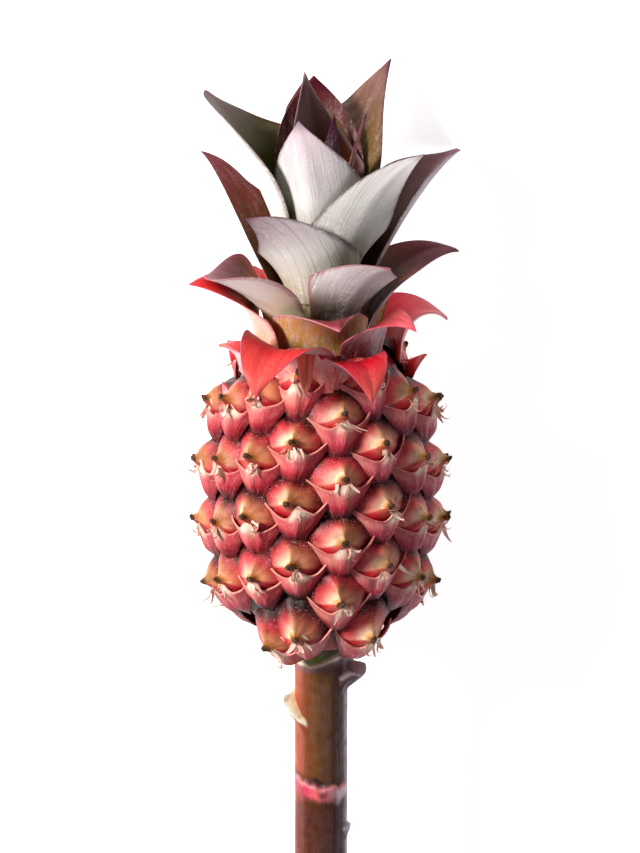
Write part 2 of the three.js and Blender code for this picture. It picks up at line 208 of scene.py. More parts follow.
class Finish:
    # a material and the few node steps that its finish is put together from
    def __init__(self, name, roughness, specular=0.5):
        self.material = bpy.data.materials.new(name)
        self.material.use_nodes = True
        self.tree = self.material.node_tree
        self.shader = self.tree.nodes["Principled BSDF"]
        self.shader.inputs["Roughness"].default_value = roughness
        self.shader.inputs["Specular IOR Level"].default_value = specular
        self.place = self.add("ShaderNodeTexCoord").outputs["Object"]

    def add(self, kind, **settings):
        node = self.tree.nodes.new(kind)
        for key, value in settings.items():
            setattr(node, key, value)
        return node

    def join(self, source, target):
        if hasattr(source, "is_output"):
            self.tree.links.new(source, target)
        else:
            target.default_value = source

    def attribute(self, name, output="Fac"):
        return self.add("ShaderNodeAttribute", attribute_name=name).outputs[output]

    def stretched(self, source, scale):
        node = self.add("ShaderNodeMapping")
        self.join(source, node.inputs["Vector"])
        node.inputs["Scale"].default_value = scale
        return node.outputs["Vector"]

    def noise(self, source, scale, detail=3, rough=0.55):
        node = self.add("ShaderNodeTexNoise")
        self.join(source, node.inputs["Vector"])
        node.inputs["Scale"].default_value = scale
        node.inputs["Detail"].default_value = detail
        node.inputs["Roughness"].default_value = rough
        return node.outputs["Fac"]

    def dots(self, source, scale, size):
        # 1 inside round dots a share of a cell across, 0 between them
        node = self.add("ShaderNodeTexVoronoi")
        self.join(source, node.inputs["Vector"])
        node.inputs["Scale"].default_value = scale
        return self.between(node.outputs["Distance"], size, size * 0.6)

    def between(self, source, low, high, toLow=0.0, toHigh=1.0):
        node = self.add("ShaderNodeMapRange", interpolation_type="SMOOTHSTEP")
        self.join(source, node.inputs["Value"])
        for socket, value in zip(("From Min", "From Max", "To Min", "To Max"), (low, high, toLow, toHigh)):
            node.inputs[socket].default_value = value
        return node.outputs["Result"]

    def product(self, a, b):
        node = self.add("ShaderNodeMath", operation="MULTIPLY")
        self.join(a, node.inputs[0])
        self.join(b, node.inputs[1])
        return node.outputs[0]

    def blend(self, under, upper, amount):
        node = self.add("ShaderNodeMix", data_type="RGBA")
        self.join(amount, node.inputs["Factor"])
        self.join(under, node.inputs["A"])
        self.join(upper, node.inputs["B"])
        return node.outputs["Result"]

    def painted(self):
        return self.attribute("paint", "Color")

    def tint(self, under, screenColour, source, low, high, most):
        # a colour laid over where a source value goes from low to high, by most at the high end
        return self.blend(under, shade(screenColour), self.between(source, low, high, 0, most))

    def bump(self, height, strength, distance, after=None):
        node = self.add("ShaderNodeBump")
        self.join(height, node.inputs["Height"])
        node.inputs["Strength"].default_value = strength
        node.inputs["Distance"].default_value = distance
        if after:
            self.join(after, node.inputs["Normal"])
        return node.outputs["Normal"]

    def finish(self, colour, roughness=None, normal=None):
        self.join(colour, self.shader.inputs["Base Color"])
        if roughness is not None:
            self.join(roughness, self.shader.inputs["Roughness"])
        if normal is not None:
            self.join(normal, self.shader.inputs["Normal"])
        return self.material


def shade(screenColour):
    return (*linear(screenColour), 1)


def eyeSkin():
    # waxy rind: mottled paint, pale scurf dots where the dust value is high, faint pits
    skin = Finish("eyeSkin", 0.42, 0.25)
    mottle = skin.noise(skin.place, 700, 4)
    colour = skin.tint(skin.painted(), (0.42, 0.12, 0.12), mottle, 0.5, 0.8, 0.45)
    colour = skin.tint(colour, (0.95, 0.72, 0.5), mottle, 0.46, 0.2, 0.18)
    dots = skin.product(skin.dots(skin.place, 3600, 0.3), skin.attribute("dust"))
    dots = skin.product(dots, skin.between(skin.noise(skin.place, 1500, 2), 0.42, 0.62))
    colour = skin.blend(colour, shade((0.95, 0.86, 0.84)), dots)
    grain = skin.noise(skin.place, 2600, 3)
    roughness = skin.between(grain, 0.2, 0.8, 0.3, 0.52)
    normal = skin.bump(grain, 0.35, 0.00025)
    normal = skin.bump(dots, 0.5, 0.00012, normal)
    return skin.finish(colour, roughness, normal)


def lipSkin():
    # the small bracts under the eyes: lengthwise fibres along the grain, a little chalk
    skin = Finish("lipSkin", 0.42, 0.3)
    fibres = skin.noise(skin.stretched(skin.attribute("grain", "Vector"), (3.2, 0.35, 1)), 1, 4)
    colour = skin.tint(skin.painted(), (0.55, 0.1, 0.16), fibres, 0.52, 0.75, 0.35)
    colour = skin.tint(colour, (0.98, 0.8, 0.72), fibres, 0.47, 0.25, 0.28)
    chalk = skin.product(skin.between(skin.noise(skin.place, 1800, 4), 0.5, 0.7), skin.attribute("dust"))
    colour = skin.blend(colour, shade((0.95, 0.88, 0.84)), chalk)
    roughness = skin.between(fibres, 0.2, 0.8, 0.34, 0.55)
    normal = skin.bump(fibres, 0.6, 0.0003)
    normal = skin.bump(skin.noise(skin.place, 2600, 2), 0.2, 0.0002, normal)
    return skin.finish(colour, roughness, normal)


def leafSkin(name, chalkColour, roughness):
    # leaf skin: fine veins along the grain, with chalky scurf over them where the dust value is high
    skin = Finish(name, roughness, 0.2)
    grain = skin.attribute("grain", "Vector")
    veins = skin.noise(skin.stretched(grain, (3.4, 0.07, 1)), 1, 3, 0.6)
    streaks = skin.noise(skin.stretched(grain, (0.7, 0.2, 1)), 1, 3)
    colour = skin.tint(skin.painted(), (0.25, 0.09, 0.12), veins, 0.52, 0.8, 0.34)
    scurf = skin.product(skin.between(streaks, 0.35, 0.65), skin.between(veins, 0.75, 0.35))
    speckle = skin.between(skin.noise(skin.place, 1500, 5, 0.7), 0.38, 0.6)
    chalk = skin.product(skin.product(scurf, speckle), skin.attribute("dust"))
    colour = skin.blend(colour, shade(chalkColour), chalk)
    rough = skin.between(chalk, 0, 1, roughness, roughness + 0.2)
    normal = skin.bump(veins, 0.45, 0.0002)
    normal = skin.bump(speckle, 0.15, 0.0001, normal)
    return skin.finish(colour, rough, normal)


def paperSkin():
    # dry torn scraps: pale, thin enough to let light through
    skin = Finish("paperSkin", 0.55, 0.3)
    crease = skin.noise(skin.place, 2200, 4)
    colour = skin.tint(skin.painted(), (0.7, 0.45, 0.42), crease, 0.5, 0.75, 0.5)
    skin.shader.inputs["Transmission Weight"].default_value = 0.15
    return skin.finish(colour, None, skin.bump(crease, 0.5, 0.0002))


def driedSkin():
    # withered flower ends: dark, rough and crumpled
    skin = Finish("driedSkin", 0.8, 0.2)
    crumple = skin.noise(skin.place, 3000, 4)
    colour = skin.tint(skin.painted(), (0.75, 0.6, 0.5), crumple, 0.55, 0.75, 0.5)
    return skin.finish(colour, None, skin.bump(crumple, 0.8, 0.0003))


def stalkSkin():
    # green wood skin: long fibres, blotches, and dull chalk where the dust value is high, which on the
    # stem's right side is partly chalk and partly a painted sheen
    skin = Finish("stalkSkin", 0.4, 0.3)
    fibres = skin.noise(skin.stretched(skin.attribute("grain", "Vector"), (3.0, 0.12, 1)), 1, 4)
    blotch = skin.noise(skin.place, 260, 4)
    colour = skin.tint(skin.painted(), (0.16, 0.09, 0.08), blotch, 0.5, 0.75, 0.5)
    colour = skin.tint(colour, (0.6, 0.36, 0.2), fibres, 0.55, 0.8, 0.35)
    chalk = skin.product(skin.between(skin.noise(skin.place, 500, 5), 0.3, 0.75), skin.attribute("dust"))
    colour = skin.blend(colour, shade((0.78, 0.74, 0.82)), chalk)
    roughness = skin.between(blotch, 0.3, 0.7, 0.32, 0.5)
    normal = skin.bump(fibres, 0.5, 0.0003)
    normal = skin.bump(blotch, 0.3, 0.0006, normal)
    return skin.finish(colour, roughness, normal)


def coreSkin():
    # the pale fibrous stem inside the crown
    skin = Finish("coreSkin", 0.6)
    fibres = skin.noise(skin.stretched(skin.place, (1, 0.15, 1)), 1200, 4)
    colour = skin.blend(shade((0.62, 0.62, 0.4)), shade((0.5, 0.3, 0.22)), skin.between(fibres, 0.4, 0.7))
    return skin.finish(colour, None, skin.bump(fibres, 0.6, 0.0004))


# Fruit: the rind's profile, two superellipse quarters, and the columns of eyes on it, as in the solid

fruit = {
    "stalkLength": 60, "length": 62, "radius": 20.6, "widest": 29, "footRadius": 6, "topRadius": 10.6,
    "footRoundness": 1.85, "shoulderRoundness": 2.1,
    "columns": 16, "columnStart": 9.5, "topRing": 58.7, "ringStep": 5.85, "lowestAzimuth": 15,
    "ringTilt": 9.7, "footRings": 23.5, "footSpread": 5, "footGap": 3.7, "lowestEye": 11,
    "highestEye": 66, "hornDrop": 0.8, "lowEyeStretch": 1.25, "lowEyeReach": 28, "wander": 0.35,
    # share of their relief that eyes keep at the foot and at the top, and over how many mm they lose it
    "footRelief": 0.4, "footReliefStart": 3, "footReliefReach": 9, "topRelief": 0.75, "topReliefReach": 12,
    "seed": 11,
}


def barrelRadius(height):
    # end + (widest - end) * (1 - away^power)^(1/power), away counted from the widest ring
    low = height < fruit["widest"]
    reach = np.where(low, fruit["widest"], fruit["length"] - fruit["widest"])
    power = np.where(low, fruit["footRoundness"], fruit["shoulderRoundness"])
    end = np.where(low, fruit["footRadius"], fruit["topRadius"])
    away = np.minimum(1, np.abs(height - fruit["widest"]) / reach)
    return end + (fruit["radius"] - end) * (1 - away ** power) ** (1 / power)


profileHeights = fruit["length"] / 2 * (1 - np.cos(np.linspace(0, math.pi, 2001)))
profileWalk = np.concatenate([[0], np.cumsum(np.hypot(
    np.diff(profileHeights), np.diff(barrelRadius(profileHeights))))])
skinLength = profileWalk[-1]


def skinHeight(distance):
    # height above the fruit's foot at a distance walked up its skin
    return np.interp(distance, profileWalk, profileHeights)


def skinPoint(azimuth, distance, proud):
    # a point standing proud of the rind, square to its profile
    distance = np.clip(distance, 0, skinLength)
    height = skinHeight(distance)
    radius = barrelRadius(height)
    ahead, behind = skinHeight(distance + 0.5), skinHeight(distance - 0.5)
    dr, dh = barrelRadius(ahead) - barrelRadius(behind), ahead - behind
    size = np.hypot(dr, dh)
    return onAxis(azimuth, radius + dh / size * proud, fruit["stalkLength"] + height - dr / size * proud)


def eyePlaces():
    # distance = topRing - ringStep * ring + ringTilt * (1 - cos(azimuth - lowestAzimuth)), with the gap
    # below footRings taken off, for every other ring of each column
    column = np.arange(fruit["columns"])[:, None]
    ring = column % 2 + 2 * np.arange(-1, 12)[None]
    azimuth = fruit["columnStart"] + 360 / fruit["columns"] * column + 0 * ring
    climb = fruit["ringTilt"] * (1 - np.cos(np.radians(azimuth - fruit["lowestAzimuth"])))
    even = fruit["topRing"] - fruit["ringStep"] * ring + climb
    distance = even - fruit["footGap"] * smooth((fruit["footRings"] - even) / fruit["footSpread"])
    kept = (distance >= fruit["lowestEye"]) & (distance < fruit["highestEye"])
    return azimuth[kept], distance[kept]


eyeAzimuth, eyeDistance = eyePlaces()
eyeCount = len(eyeAzimuth)
random = np.random.default_rng(fruit["seed"])
eyeMood = random.uniform(-1, 1, (eyeCount, 10))  # small differences from eye to eye
eyeAzimuth = eyeAzimuth + 3 * fruit["wander"] * eyeMood[:, 8]
eyeDistance = eyeDistance + fruit["wander"] * eyeMood[:, 9]
eyeRadius = barrelRadius(skinHeight(eyeDistance))
eyeScale = (eyeRadius / fruit["radius"]) ** 0.5  # eyes narrow a little towards both ends
eyeTall = mix(fruit["lowEyeStretch"], 1, smooth(2 * eyeDistance / fruit["lowEyeReach"] - 1))
footRelief = smooth((eyeDistance - fruit["footReliefStart"]) / fruit["footReliefReach"])
topRelief = smooth((skinLength - eyeDistance) / fruit["topReliefReach"])
eyeRelief = mix(fruit["footRelief"], 1, footRelief) * mix(fruit["topRelief"], 1, topRelief)


def perEye(values):
    # one value for each eye, ready for a grid of rows and columns on each
    return np.asarray(values)[:, None, None]


def eyePoint(across, along, proud, which=None):
    # from an eye's own millimetres, measured from its horn, to the plant's frame
    which = np.arange(eyeCount) if which is None else which

    def own(values):
        return values[which].reshape((-1,) + (1,) * (across.ndim - 1))

    along = own(eyeDistance) - fruit["hornDrop"] + along * own(eyeTall)
    radius = barrelRadius(skinHeight(np.clip(along, 1.5, skinLength)))
    azimuth = own(eyeAzimuth) + np.degrees(across * own(eyeScale) / radius)
    return skinPoint(azimuth, along, np.where(proud > 0, proud * own(eyeRelief), proud))


eyeShape = {
    "groove": 1.0, "dome": 4.5, "thorn": 1.6, "thornRadius": 0.85, "lean": 0.75, "keel": 0.5,
    "crease": 0.3, "creaseAngle": 97, "creaseWidth": 7, "ridge": -6,
    "ridgeWidth": 28, "flatFrom": 62, "ribs": 0.16,
    "ribWidth": 0.12, "ribAngles": [-75, -40, 35, 70], "uneven": 0.16, "sides": 48, "rings": 20,
    # the power of the dome's curve on its ridge and on its flat faces, and what is added below
    "ridgePower": 2.0, "flatPower": 1.15, "lowerPower": 1.5,
    # how eyes differ: dome, thorn and sideways lean in mm, ridge and ribs in degrees
    "domeVaries": 0.4, "thornVaries": 0.35, "sideLean": 0.5, "ridgeVaries": 12, "ribVaries": 14,
    # the closed foot inside the rind: its share of the reach, and its depth in mm
    "footShare": 0.25, "footDepth": 2.0,
    # how far the dome reaches from its horn, by degrees from its upper side
    "angles": [0, 40, 75, 95, 106, 125, 150, 180],
    "reach": [5.6, 6.4, 6.7, 6.5, 5.4, 4.7, 4.3, 4.1],
}
domePaint = {
    # from the horn to the edge: left of the ridge, right of it, and on the lower side. The left face is
    # paler as painted highlight and the right face browner and darker as painted shade, partly the eye's
    # own tan; all darken towards the edge as painted shade in the grooves between eyes
    "left": [
        (0.0, (0.3, 0.17, 0.1)), (0.08, (0.42, 0.24, 0.12)), (0.14, (0.84, 0.58, 0.3)),
        (0.24, (0.98, 0.84, 0.68)), (0.38, (0.95, 0.7, 0.61)), (0.52, (0.88, 0.46, 0.42)),
        (0.66, (0.76, 0.22, 0.25)), (0.8, (0.52, 0.08, 0.13)), (0.91, (0.2, 0.02, 0.05))],
    "right": [
        (0.0, (0.3, 0.17, 0.1)), (0.08, (0.42, 0.24, 0.12)), (0.14, (0.74, 0.46, 0.22)),
        (0.25, (0.84, 0.54, 0.4)), (0.38, (0.78, 0.47, 0.35)), (0.52, (0.67, 0.35, 0.26)),
        (0.66, (0.5, 0.19, 0.16)), (0.79, (0.32, 0.07, 0.08)), (0.9, (0.13, 0.01, 0.03))],
    "lower": [
        (0.0, (0.36, 0.22, 0.12)), (0.12, (0.68, 0.36, 0.22)), (0.3, (0.8, 0.34, 0.3)),
        (0.5, (0.74, 0.12, 0.17)), (0.75, (0.5, 0.04, 0.08)), (1.0, (0.2, 0.02, 0.04))],
    # colours laid over, each with the most of it: a painted highlight along the ridge, ochre and rose
    # that are the eyes' own, painted shade on the lower side's right half, a painted highlight on the
    # crease
    "ridgeHighlight": ((0.92, 0.74, 0.5), 0.5), "ochre": ((0.52, 0.33, 0.12), 0.55),
    "rose": ((0.86, 0.22, 0.28), 0.5), "lowerPaintedShade": ((0.42, 0.03, 0.1), 0.5),
    "creaseHighlight": ((0.93, 0.62, 0.54), 0.4), "dust": 0.8,
}


def makeDomes():
    # height = groove + (dome - groove) * (1 - q^power) + thorn * bell: q is the share of the way from
    # the horn to the edge; the power is high along a ridge that runs up from the horn and near 1 on
    # the flat faces beside it; ribs spread from the horn, which leans towards the crown
    e, colours = eyeShape, domePaint
    theta = (-2 * np.pi * np.arange(e["sides"]) / e["sides"])[None, None, :]
    fromUp = np.degrees(np.abs(halfTurn(theta)))
    q = (np.linspace(1.04, 0.02, e["rings"]) ** 1.1)[None, :, None]
    mood = [perEye(eyeMood[:, i]) for i in range(8)]
    eyeNumber = perEye(np.arange(eyeCount) * 7.3)
    wobble = 0.06 * mood[0] * np.cos(2 * theta + 3 * mood[1]) + 0.05 * mood[2] * np.sin(3 * theta)
    rho = q * np.interp(fromUp, e["angles"], e["reach"]) * (1 + wobble)
    pastRidge = np.degrees(halfTurn(theta)) - e["ridge"] - e["ridgeVaries"] * mood[5]
    fromRidge = np.abs(pastRidge)
    power = mix(e["ridgePower"], e["flatPower"], np.minimum(1, fromRidge / e["flatFrom"]) ** 0.8)
    power = power + e["lowerPower"] * smooth((fromUp - 92) / 30)
    height = e["groove"] + (e["dome"] - e["groove"] + e["domeVaries"] * mood[3]) * (1 - q ** power)
    height = height + (e["thorn"] + e["thornVaries"] * mood[4]) * bell(rho / e["thornRadius"])
    middle = np.clip(4 * q * (1 - q), 0, 1)
    height = height + e["keel"] * np.maximum(0, 1 - fromRidge / e["ridgeWidth"]) * middle
    crease = bell((fromUp - e["creaseAngle"]) / e["creaseWidth"])
    height = height + e["crease"] * crease * smooth(q / 0.2) * (1 - q ** 2)
    for k, start in enumerate(e["ribAngles"]):
        ribAt = np.radians(start + e["ribVaries"] * mood[4 + k])
        rib = bell(halfTurn(theta - ribAt) / e["ribWidth"]) * middle
        height = height + e["ribs"] * rib * (0.6 + 0.4 * wavering(eyeNumber, 2 * rho, 60 + k))
    across, along = rho * np.sin(theta), rho * np.cos(theta)
    height = height + e["uneven"] * wavering(across + eyeNumber, along, 3, 6, 2.2) * smooth(q / 0.15)
    leaning = smooth((height - 2.6) / 3.4)
    along = along + e["lean"] * (leaning - 1)
    across = across + e["sideLean"] * mood[5] * leaning
    points = eyePoint(*np.broadcast_arrays(across, along, height))
    under = e["footShare"] * rho[:, :1]
    foot = eyePoint(*np.broadcast_arrays(under * np.sin(theta), under * np.cos(theta), -e["footDepth"]))

    # side is -1 on the face left of the ridge and 1 on the face right of it
    side = np.clip(pastRidge / 14, -1, 1) * smooth(q / 0.1)
    patch = wavering(0.8 * across + eyeNumber, 0.8 * along, 21, 6, 2.4)
    # the left face's paler gradient is painted highlight and the right face's darker one painted shade;
    # both darken towards the edge as painted shade in the grooves
    left, right = (gradient(1.06 * q + 0.08 * patch, colours[face]) for face in ("left", "right"))
    paint = mix(left, right, (0.5 + 0.5 * side)[..., None])
    # painted highlight along the ridge above the horn
    paint = lay(paint, colours["ridgeHighlight"], bell(fromRidge / 14) * bell((q - 0.42) / 0.2))
    paint = lay(paint, colours["ochre"], smooth(mood[7] * 1.5 + patch) * bell((q - 0.25) / 0.2))
    paint = lay(paint, colours["rose"], smooth(0.5 + mood[6] - patch) * bell((q - 0.62) / 0.2))
    # the lower side darkens towards its bottom edge: painted shade under the eye
    lower = smooth((fromUp - 94) / 9)
    paint = mix(paint, gradient(q, colours["lower"]), lower[..., None])
    # painted shade over the right half of the lower side
    paint = lay(paint, colours["lowerPaintedShade"], lower * smooth(np.sin(theta) * 2))
    # painted highlight on the raised crease, strongest on the left face, which the key light reaches
    ridge = bell((fromUp - 96) / 5) * smooth(q / 0.3) * smooth((1 - q) / 0.3)
    paint = lay(paint, colours["creaseHighlight"], ridge * smooth(1 - np.sin(theta)))
    dust = smooth((q - 0.5) / 0.2) * smooth((100 - fromUp) / 15) * smooth((0.95 - q) / 0.12)
    dust = colours["dust"] * dust + 0 * rho
    points, paint, dust = (np.concatenate([first, rest], 1) for first, rest in (
        (foot, points), (paint[:, :1], paint), (dust[:, :1], dust)))
    return makePiece("eyeDomes", points, tubeFaces(eyeCount, e["rings"] + 1, e["sides"]), "fruit_rind",
                     eyeSkinMaterial, paint, ["fruit"], dust=dust)


lipShape = {
    "halfWidth": 6.8, "corner": -0.3, "sag": 2.9, "base": -8.8, "height": 4.3, "thickness": 0.3,
    "bridge": 2.9, "bridgeWidth": 0.2, "keel": 0.4, "uneven": 0.32, "cols": 31, "rows": 14,
}
lipPaint = {
    # from the rim down to the base, on the outside and on the inside; both darken towards the base as
    # painted shade where the bract tucks under the eyes around it
    "outside": [
        (0.0, (0.93, 0.6, 0.56)), (0.05, (0.86, 0.4, 0.42)), (0.14, (0.8, 0.24, 0.3)),
        (0.4, (0.84, 0.32, 0.36)), (0.62, (0.72, 0.14, 0.22)), (0.82, (0.38, 0.04, 0.1)),
        (0.95, (0.14, 0.02, 0.04))],
    "inside": [
        (0.0, (0.9, 0.52, 0.46)), (0.08, (0.8, 0.3, 0.2)), (0.3, (0.66, 0.12, 0.13)),
        (1.0, (0.3, 0.03, 0.06))],
    # colours laid over the outside, each with the most of it: painted highlights on the left and along
    # the keel, painted shade on the right, a purple cast that is partly the eyes' own colour and partly
    # painted shade, and the pale and brown of the torn bridge
    "leftHighlight": ((0.96, 0.66, 0.56), 0.6), "purpleShade": ((0.52, 0.14, 0.32), 0.45),
    "rightPaintedShade": ((0.5, 0.05, 0.13), 0.6), "keelHighlight": ((0.95, 0.72, 0.64), 0.45),
    "torn": ((0.96, 0.88, 0.78), 0.85), "tornBrown": ((0.5, 0.32, 0.16), 0.55),
    "dust": 0.08, "tornDust": 0.45,
}


def gridNormals(points):
    # square to the surface at each grid point, from its neighbours across and along
    across = np.gradient(points, axis=-2)
    along = np.gradient(points, axis=-3)
    normal = np.cross(across, along)
    return normal / np.maximum(1e-9, np.linalg.norm(normal, axis=-1, keepdims=True))


def makeLips():
    # a three-cornered bract under each eye: its rim, u across, sags from both corners and climbs in
    # the middle to the horn as a torn bridge; v runs down a curve of four control points to its base
    s, colours = lipShape, lipPaint
    u = np.linspace(-1, 1, s["cols"])[None, None, :]
    v = (np.linspace(1, 0, s["rows"]) ** 1.3)[None, :, None]  # rows run from the base up to the rim
    mood = [perEye(eyeMood[:, i]) for i in range(8)]
    eyeNumber = perEye(np.arange(eyeCount) * 5.1)
    middle = u - 0.08 - 0.1 * mood[1]
    bridge = bell(middle / (s["bridgeWidth"] * (1 + 0.3 * mood[2]))) * (0.85 + 0.25 * mood[3])
    ragged = wavering(4.5 * u + eyeNumber, 0 * u, 8, 6, 5.0)
    flare = 0.3 * wavering(2 * u + eyeNumber, 0 * u, 9, 4, 2.0)
    sag = (s["sag"] + 0.5 * mood[4]) * (1 - np.abs(u) ** 1.7)
    rimAlong = s["corner"] - sag + s["bridge"] * bridge + 0.2 * ragged + 0.9 * smooth((u - 0.55) / 0.4)
    rimHeight = s["height"] * (1 - 0.66 * np.abs(u) ** 1.8) + 0.6 * bridge + flare
    rimHeight = rimHeight + 0.7 * smooth((u - 0.5) / 0.4)
    control = [
        (s["halfWidth"] * u, rimAlong, rimHeight),
        (0.93 * s["halfWidth"] * u, s["corner"] - sag - 0.9, rimHeight - 0.5 * bridge - 0.75),
        (0.68 * s["halfWidth"] * u, -6.0 + 2.2 * u * u, 3.8 * (1 - 0.5 * u * u)),
        (0.2 * s["halfWidth"] * u, s["base"] + 0 * u, 1.5 + 0 * u),
    ]
    weights = [(1 - v) ** 3, 3 * (1 - v) ** 2 * v, 3 * (1 - v) * v * v, v ** 3]
    across, along, height = (
        sum(w * c[i] for w, c in zip(weights, control)) + 0 * eyeNumber for i in range(3))
    creases = 1.6 * bell(middle / 0.18)
    for sideways in (-0.35 - 0.1 * mood[4], 0.4 + 0.1 * mood[5]):
        creases = creases + 0.6 * bell((middle + sideways) / 0.1)
    height = height + s["keel"] * creases * smooth((1 - v) * 2.5) * smooth(v * 4)
    height = height + s["uneven"] * wavering(across + eyeNumber, along, 5, 6, 1.9) * smooth((1 - v) * 3)
    outer = eyePoint(across, along, height)
    thick = s["thickness"] * mix(1.1, 1.0, smooth(v * 6))
    points = np.stack([outer, outer - gridNormals(outer) * thick[..., None]], 1)

    # purple on the eyes that face right, away from the key light: partly their own colour, partly painted
    # shade
    purpleShade = smooth((perEye(eyeAzimuth) + 10) / 60) * smooth((170 - perEye(eyeAzimuth)) / 40)
    patch = wavering(0.7 * across + eyeNumber, 0.7 * along, 22, 6, 2.6)
    torn = smooth(bridge * 2.2) * smooth((0.34 - v) / 0.25)
    # darkening towards the base is painted shade under the neighbouring eyes
    outside = gradient(v + 0.04 * ragged + 0.12 * patch, colours["outside"])
    for name, share in (
        # painted highlight on the bract's left, which faces the key light
        ("leftHighlight", smooth(0.1 - 1.4 * u + 0.9 * patch) * bell((v - 0.3) / 0.25)),
        ("purpleShade", purpleShade),
        # painted shade on the bract's right
        ("rightPaintedShade", smooth((u - 0.2) / 0.5) * smooth(v / 0.12) * smooth(0.8 - patch)),
        # painted highlight along the keel
        ("keelHighlight", bell(middle / 0.2) * smooth((0.6 - v) / 0.5)),
        ("torn", torn),
        ("tornBrown", smooth(patch * 2 - 0.3) * torn),
    ):
        outside = lay(outside, colours[name], share)
    paint = np.stack([outside, gradient(v + 0 * across, colours["inside"])], 1)
    dust = colours["dust"] + colours["tornDust"] * torn + 0 * across
    grain = np.stack([u * 6.5 + 0 * across, v * 9 + 0 * across, eyeNumber + 0 * across], -1)
    return makePiece("eyeLips", points, sheetFaces(eyeCount, s["rows"], s["cols"]), "fruit_rind",
                     lipSkinMaterial, paint, ["fruit"], grain=np.stack([grain, grain], 1),
                     dust=np.stack([dust, 0.2 * dust], 1))


scrapShape = {
    "perEye": 4, "length": [1.8, 4.2], "halfWidth": [0.18, 0.5], "thickness": 0.07, "curl": [30, 230],
    "lowest": 0.3, "rows": 14, "cols": 4, "seed": 23,
    # how across, along and outward are drawn: where strips start, which way they set out and bend
    "start": [("normal", 0.4, 0.7), ("uniform", -1.6, -0.4), ("uniform", 4.5, 5.1)],
    "first": [("normal", 0.25, 0.5), ("uniform", -1.0, -0.4), ("uniform", -0.1, 0.35)],
    "bend": [("normal", 0, 0.5), ("normal", 0, 0.4), ("uniform", 0.4, 1.0)],
    "paint": [(0, (0.97, 0.9, 0.82)), (0.45, (0.95, 0.8, 0.72)), (0.85, (0.88, 0.6, 0.55)),
              (1.25, (0.55, 0.36, 0.24))],
}


def makeScraps():
    # torn papery strips that hang from each horn over its bract: each follows a plane curl, turning
    # ever faster from its start direction, with its width square to that plane
    s = scrapShape
    random = np.random.default_rng(s["seed"])
    n = eyeCount * s["perEye"]
    which = np.repeat(np.arange(eyeCount), s["perEye"])
    t = np.linspace(0, 1, s["rows"])
    start, first, side = (np.stack([getattr(random, kind)(a, b, n) for kind, a, b in s[key]], -1)
                          for key in ("start", "first", "bend"))
    first /= np.linalg.norm(first, axis=-1, keepdims=True)
    side -= first * np.sum(side * first, -1, keepdims=True)
    side /= np.linalg.norm(side, axis=-1, keepdims=True)
    width = np.cross(first, side)
    length = random.uniform(*s["length"], n)[:, None, None] / (s["rows"] - 1)
    turn = np.radians(random.uniform(*s["curl"], n))[:, None] * t[None] ** 1.8
    step = np.cos(turn)[..., None] * first[:, None] + np.sin(turn)[..., None] * side[:, None]
    walk = np.concatenate([np.zeros((n, 1, 3)), np.cumsum(step[:, :-1], 1)], 1) * length
    ragged = 1 + 0.35 * wavering(3 * t[None] + 9 * which[:, None], 7 * np.arange(n)[:, None], 14, 6, 4.0)
    halfWidth = random.uniform(*s["halfWidth"], n)[:, None] * (1 - 0.8 * t[None] ** 1.5) * ragged
    sideways = (halfWidth[:, :, None] * np.linspace(-1, 1, s["cols"])[None, None])[..., None]
    local = (start[:, None] + walk)[:, :, None] + width[:, None, None] * sideways
    facing = np.cross(np.broadcast_to(width[:, None], step.shape), step)
    local = np.stack([local, local - facing[:, :, None] * s["thickness"]], 1)
    points = eyePoint(local[..., 0], local[..., 1], np.maximum(s["lowest"], local[..., 2]), which)
    tone = random.uniform(0, 1, n)[:, None, None, None] + 0.25 * t[None, None, :, None]
    paint = gradient(tone + np.zeros(points.shape[:-1]), s["paint"])
    return makePiece("tornScraps", points, sheetFaces(n, s["rows"], s["cols"]), "fruit_rind",
                     paperSkinMaterial, paint, ["fruit"])


tipShape = {
    "sides": 9, "rings": 6, "radius": 0.55, "least": 0.08, "narrowing": 0.7, "uneven": 0.35,
    "length": 0.75, "sunk": 0.5, "seed": 31,
    "paint": [(0, (0.5, 0.34, 0.18)), (0.5, (0.28, 0.18, 0.12)), (1, (0.36, 0.3, 0.27))],
}


def makeDriedTips():
    # a withered knob on each horn: radius = radius * (1 - narrowing * t) * (1 + uneven * a draw) + least
    s, e = tipShape, eyeShape
    random = np.random.default_rng(s["seed"])
    angle = -2 * np.pi * np.arange(s["sides"])[None, None] / s["sides"]
    t = np.linspace(0, 1, s["rings"])[None, :, None]
    wild = random.uniform(-1, 1, (eyeCount, s["rings"], s["sides"]))
    tilt = random.uniform(-0.4, 0.4, (eyeCount, 1, 1))
    radius = s["radius"] * (1 - s["narrowing"] * t) * (1 + s["uneven"] * wild) + s["least"]
    across = radius * np.sin(angle) + tilt * t + e["sideLean"] * perEye(eyeMood[:, 5])
    along = radius * np.cos(angle) + 0.3 * t + 0.5 * tilt * t
    top = e["dome"] + e["thorn"] + e["domeVaries"] * perEye(eyeMood[:, 3])
    top = top + e["thornVaries"] * perEye(eyeMood[:, 4])
    points = eyePoint(across, along, top - s["sunk"] + s["length"] * t + 0.1 * wild)
    paint = gradient(t + 0.3 * wild, s["paint"])
    return makePiece("driedTips", points, tubeFaces(eyeCount, s["rings"], s["sides"]), "fruit_rind",
                     driedSkinMaterial, paint, ["fruit"])


rind = {
    "rows": 60, "sides": 120, "inside": 0.4, "endReach": 4, "uneven": 0.2,
    "paint": [(0, (0.85, 0.5, 0.45)), (0.12, (0.5, 0.1, 0.14)), (0.2, (0.24, 0.03, 0.06)),
              (0.8, (0.24, 0.03, 0.06)), (1, (0.6, 0.1, 0.14))],
}


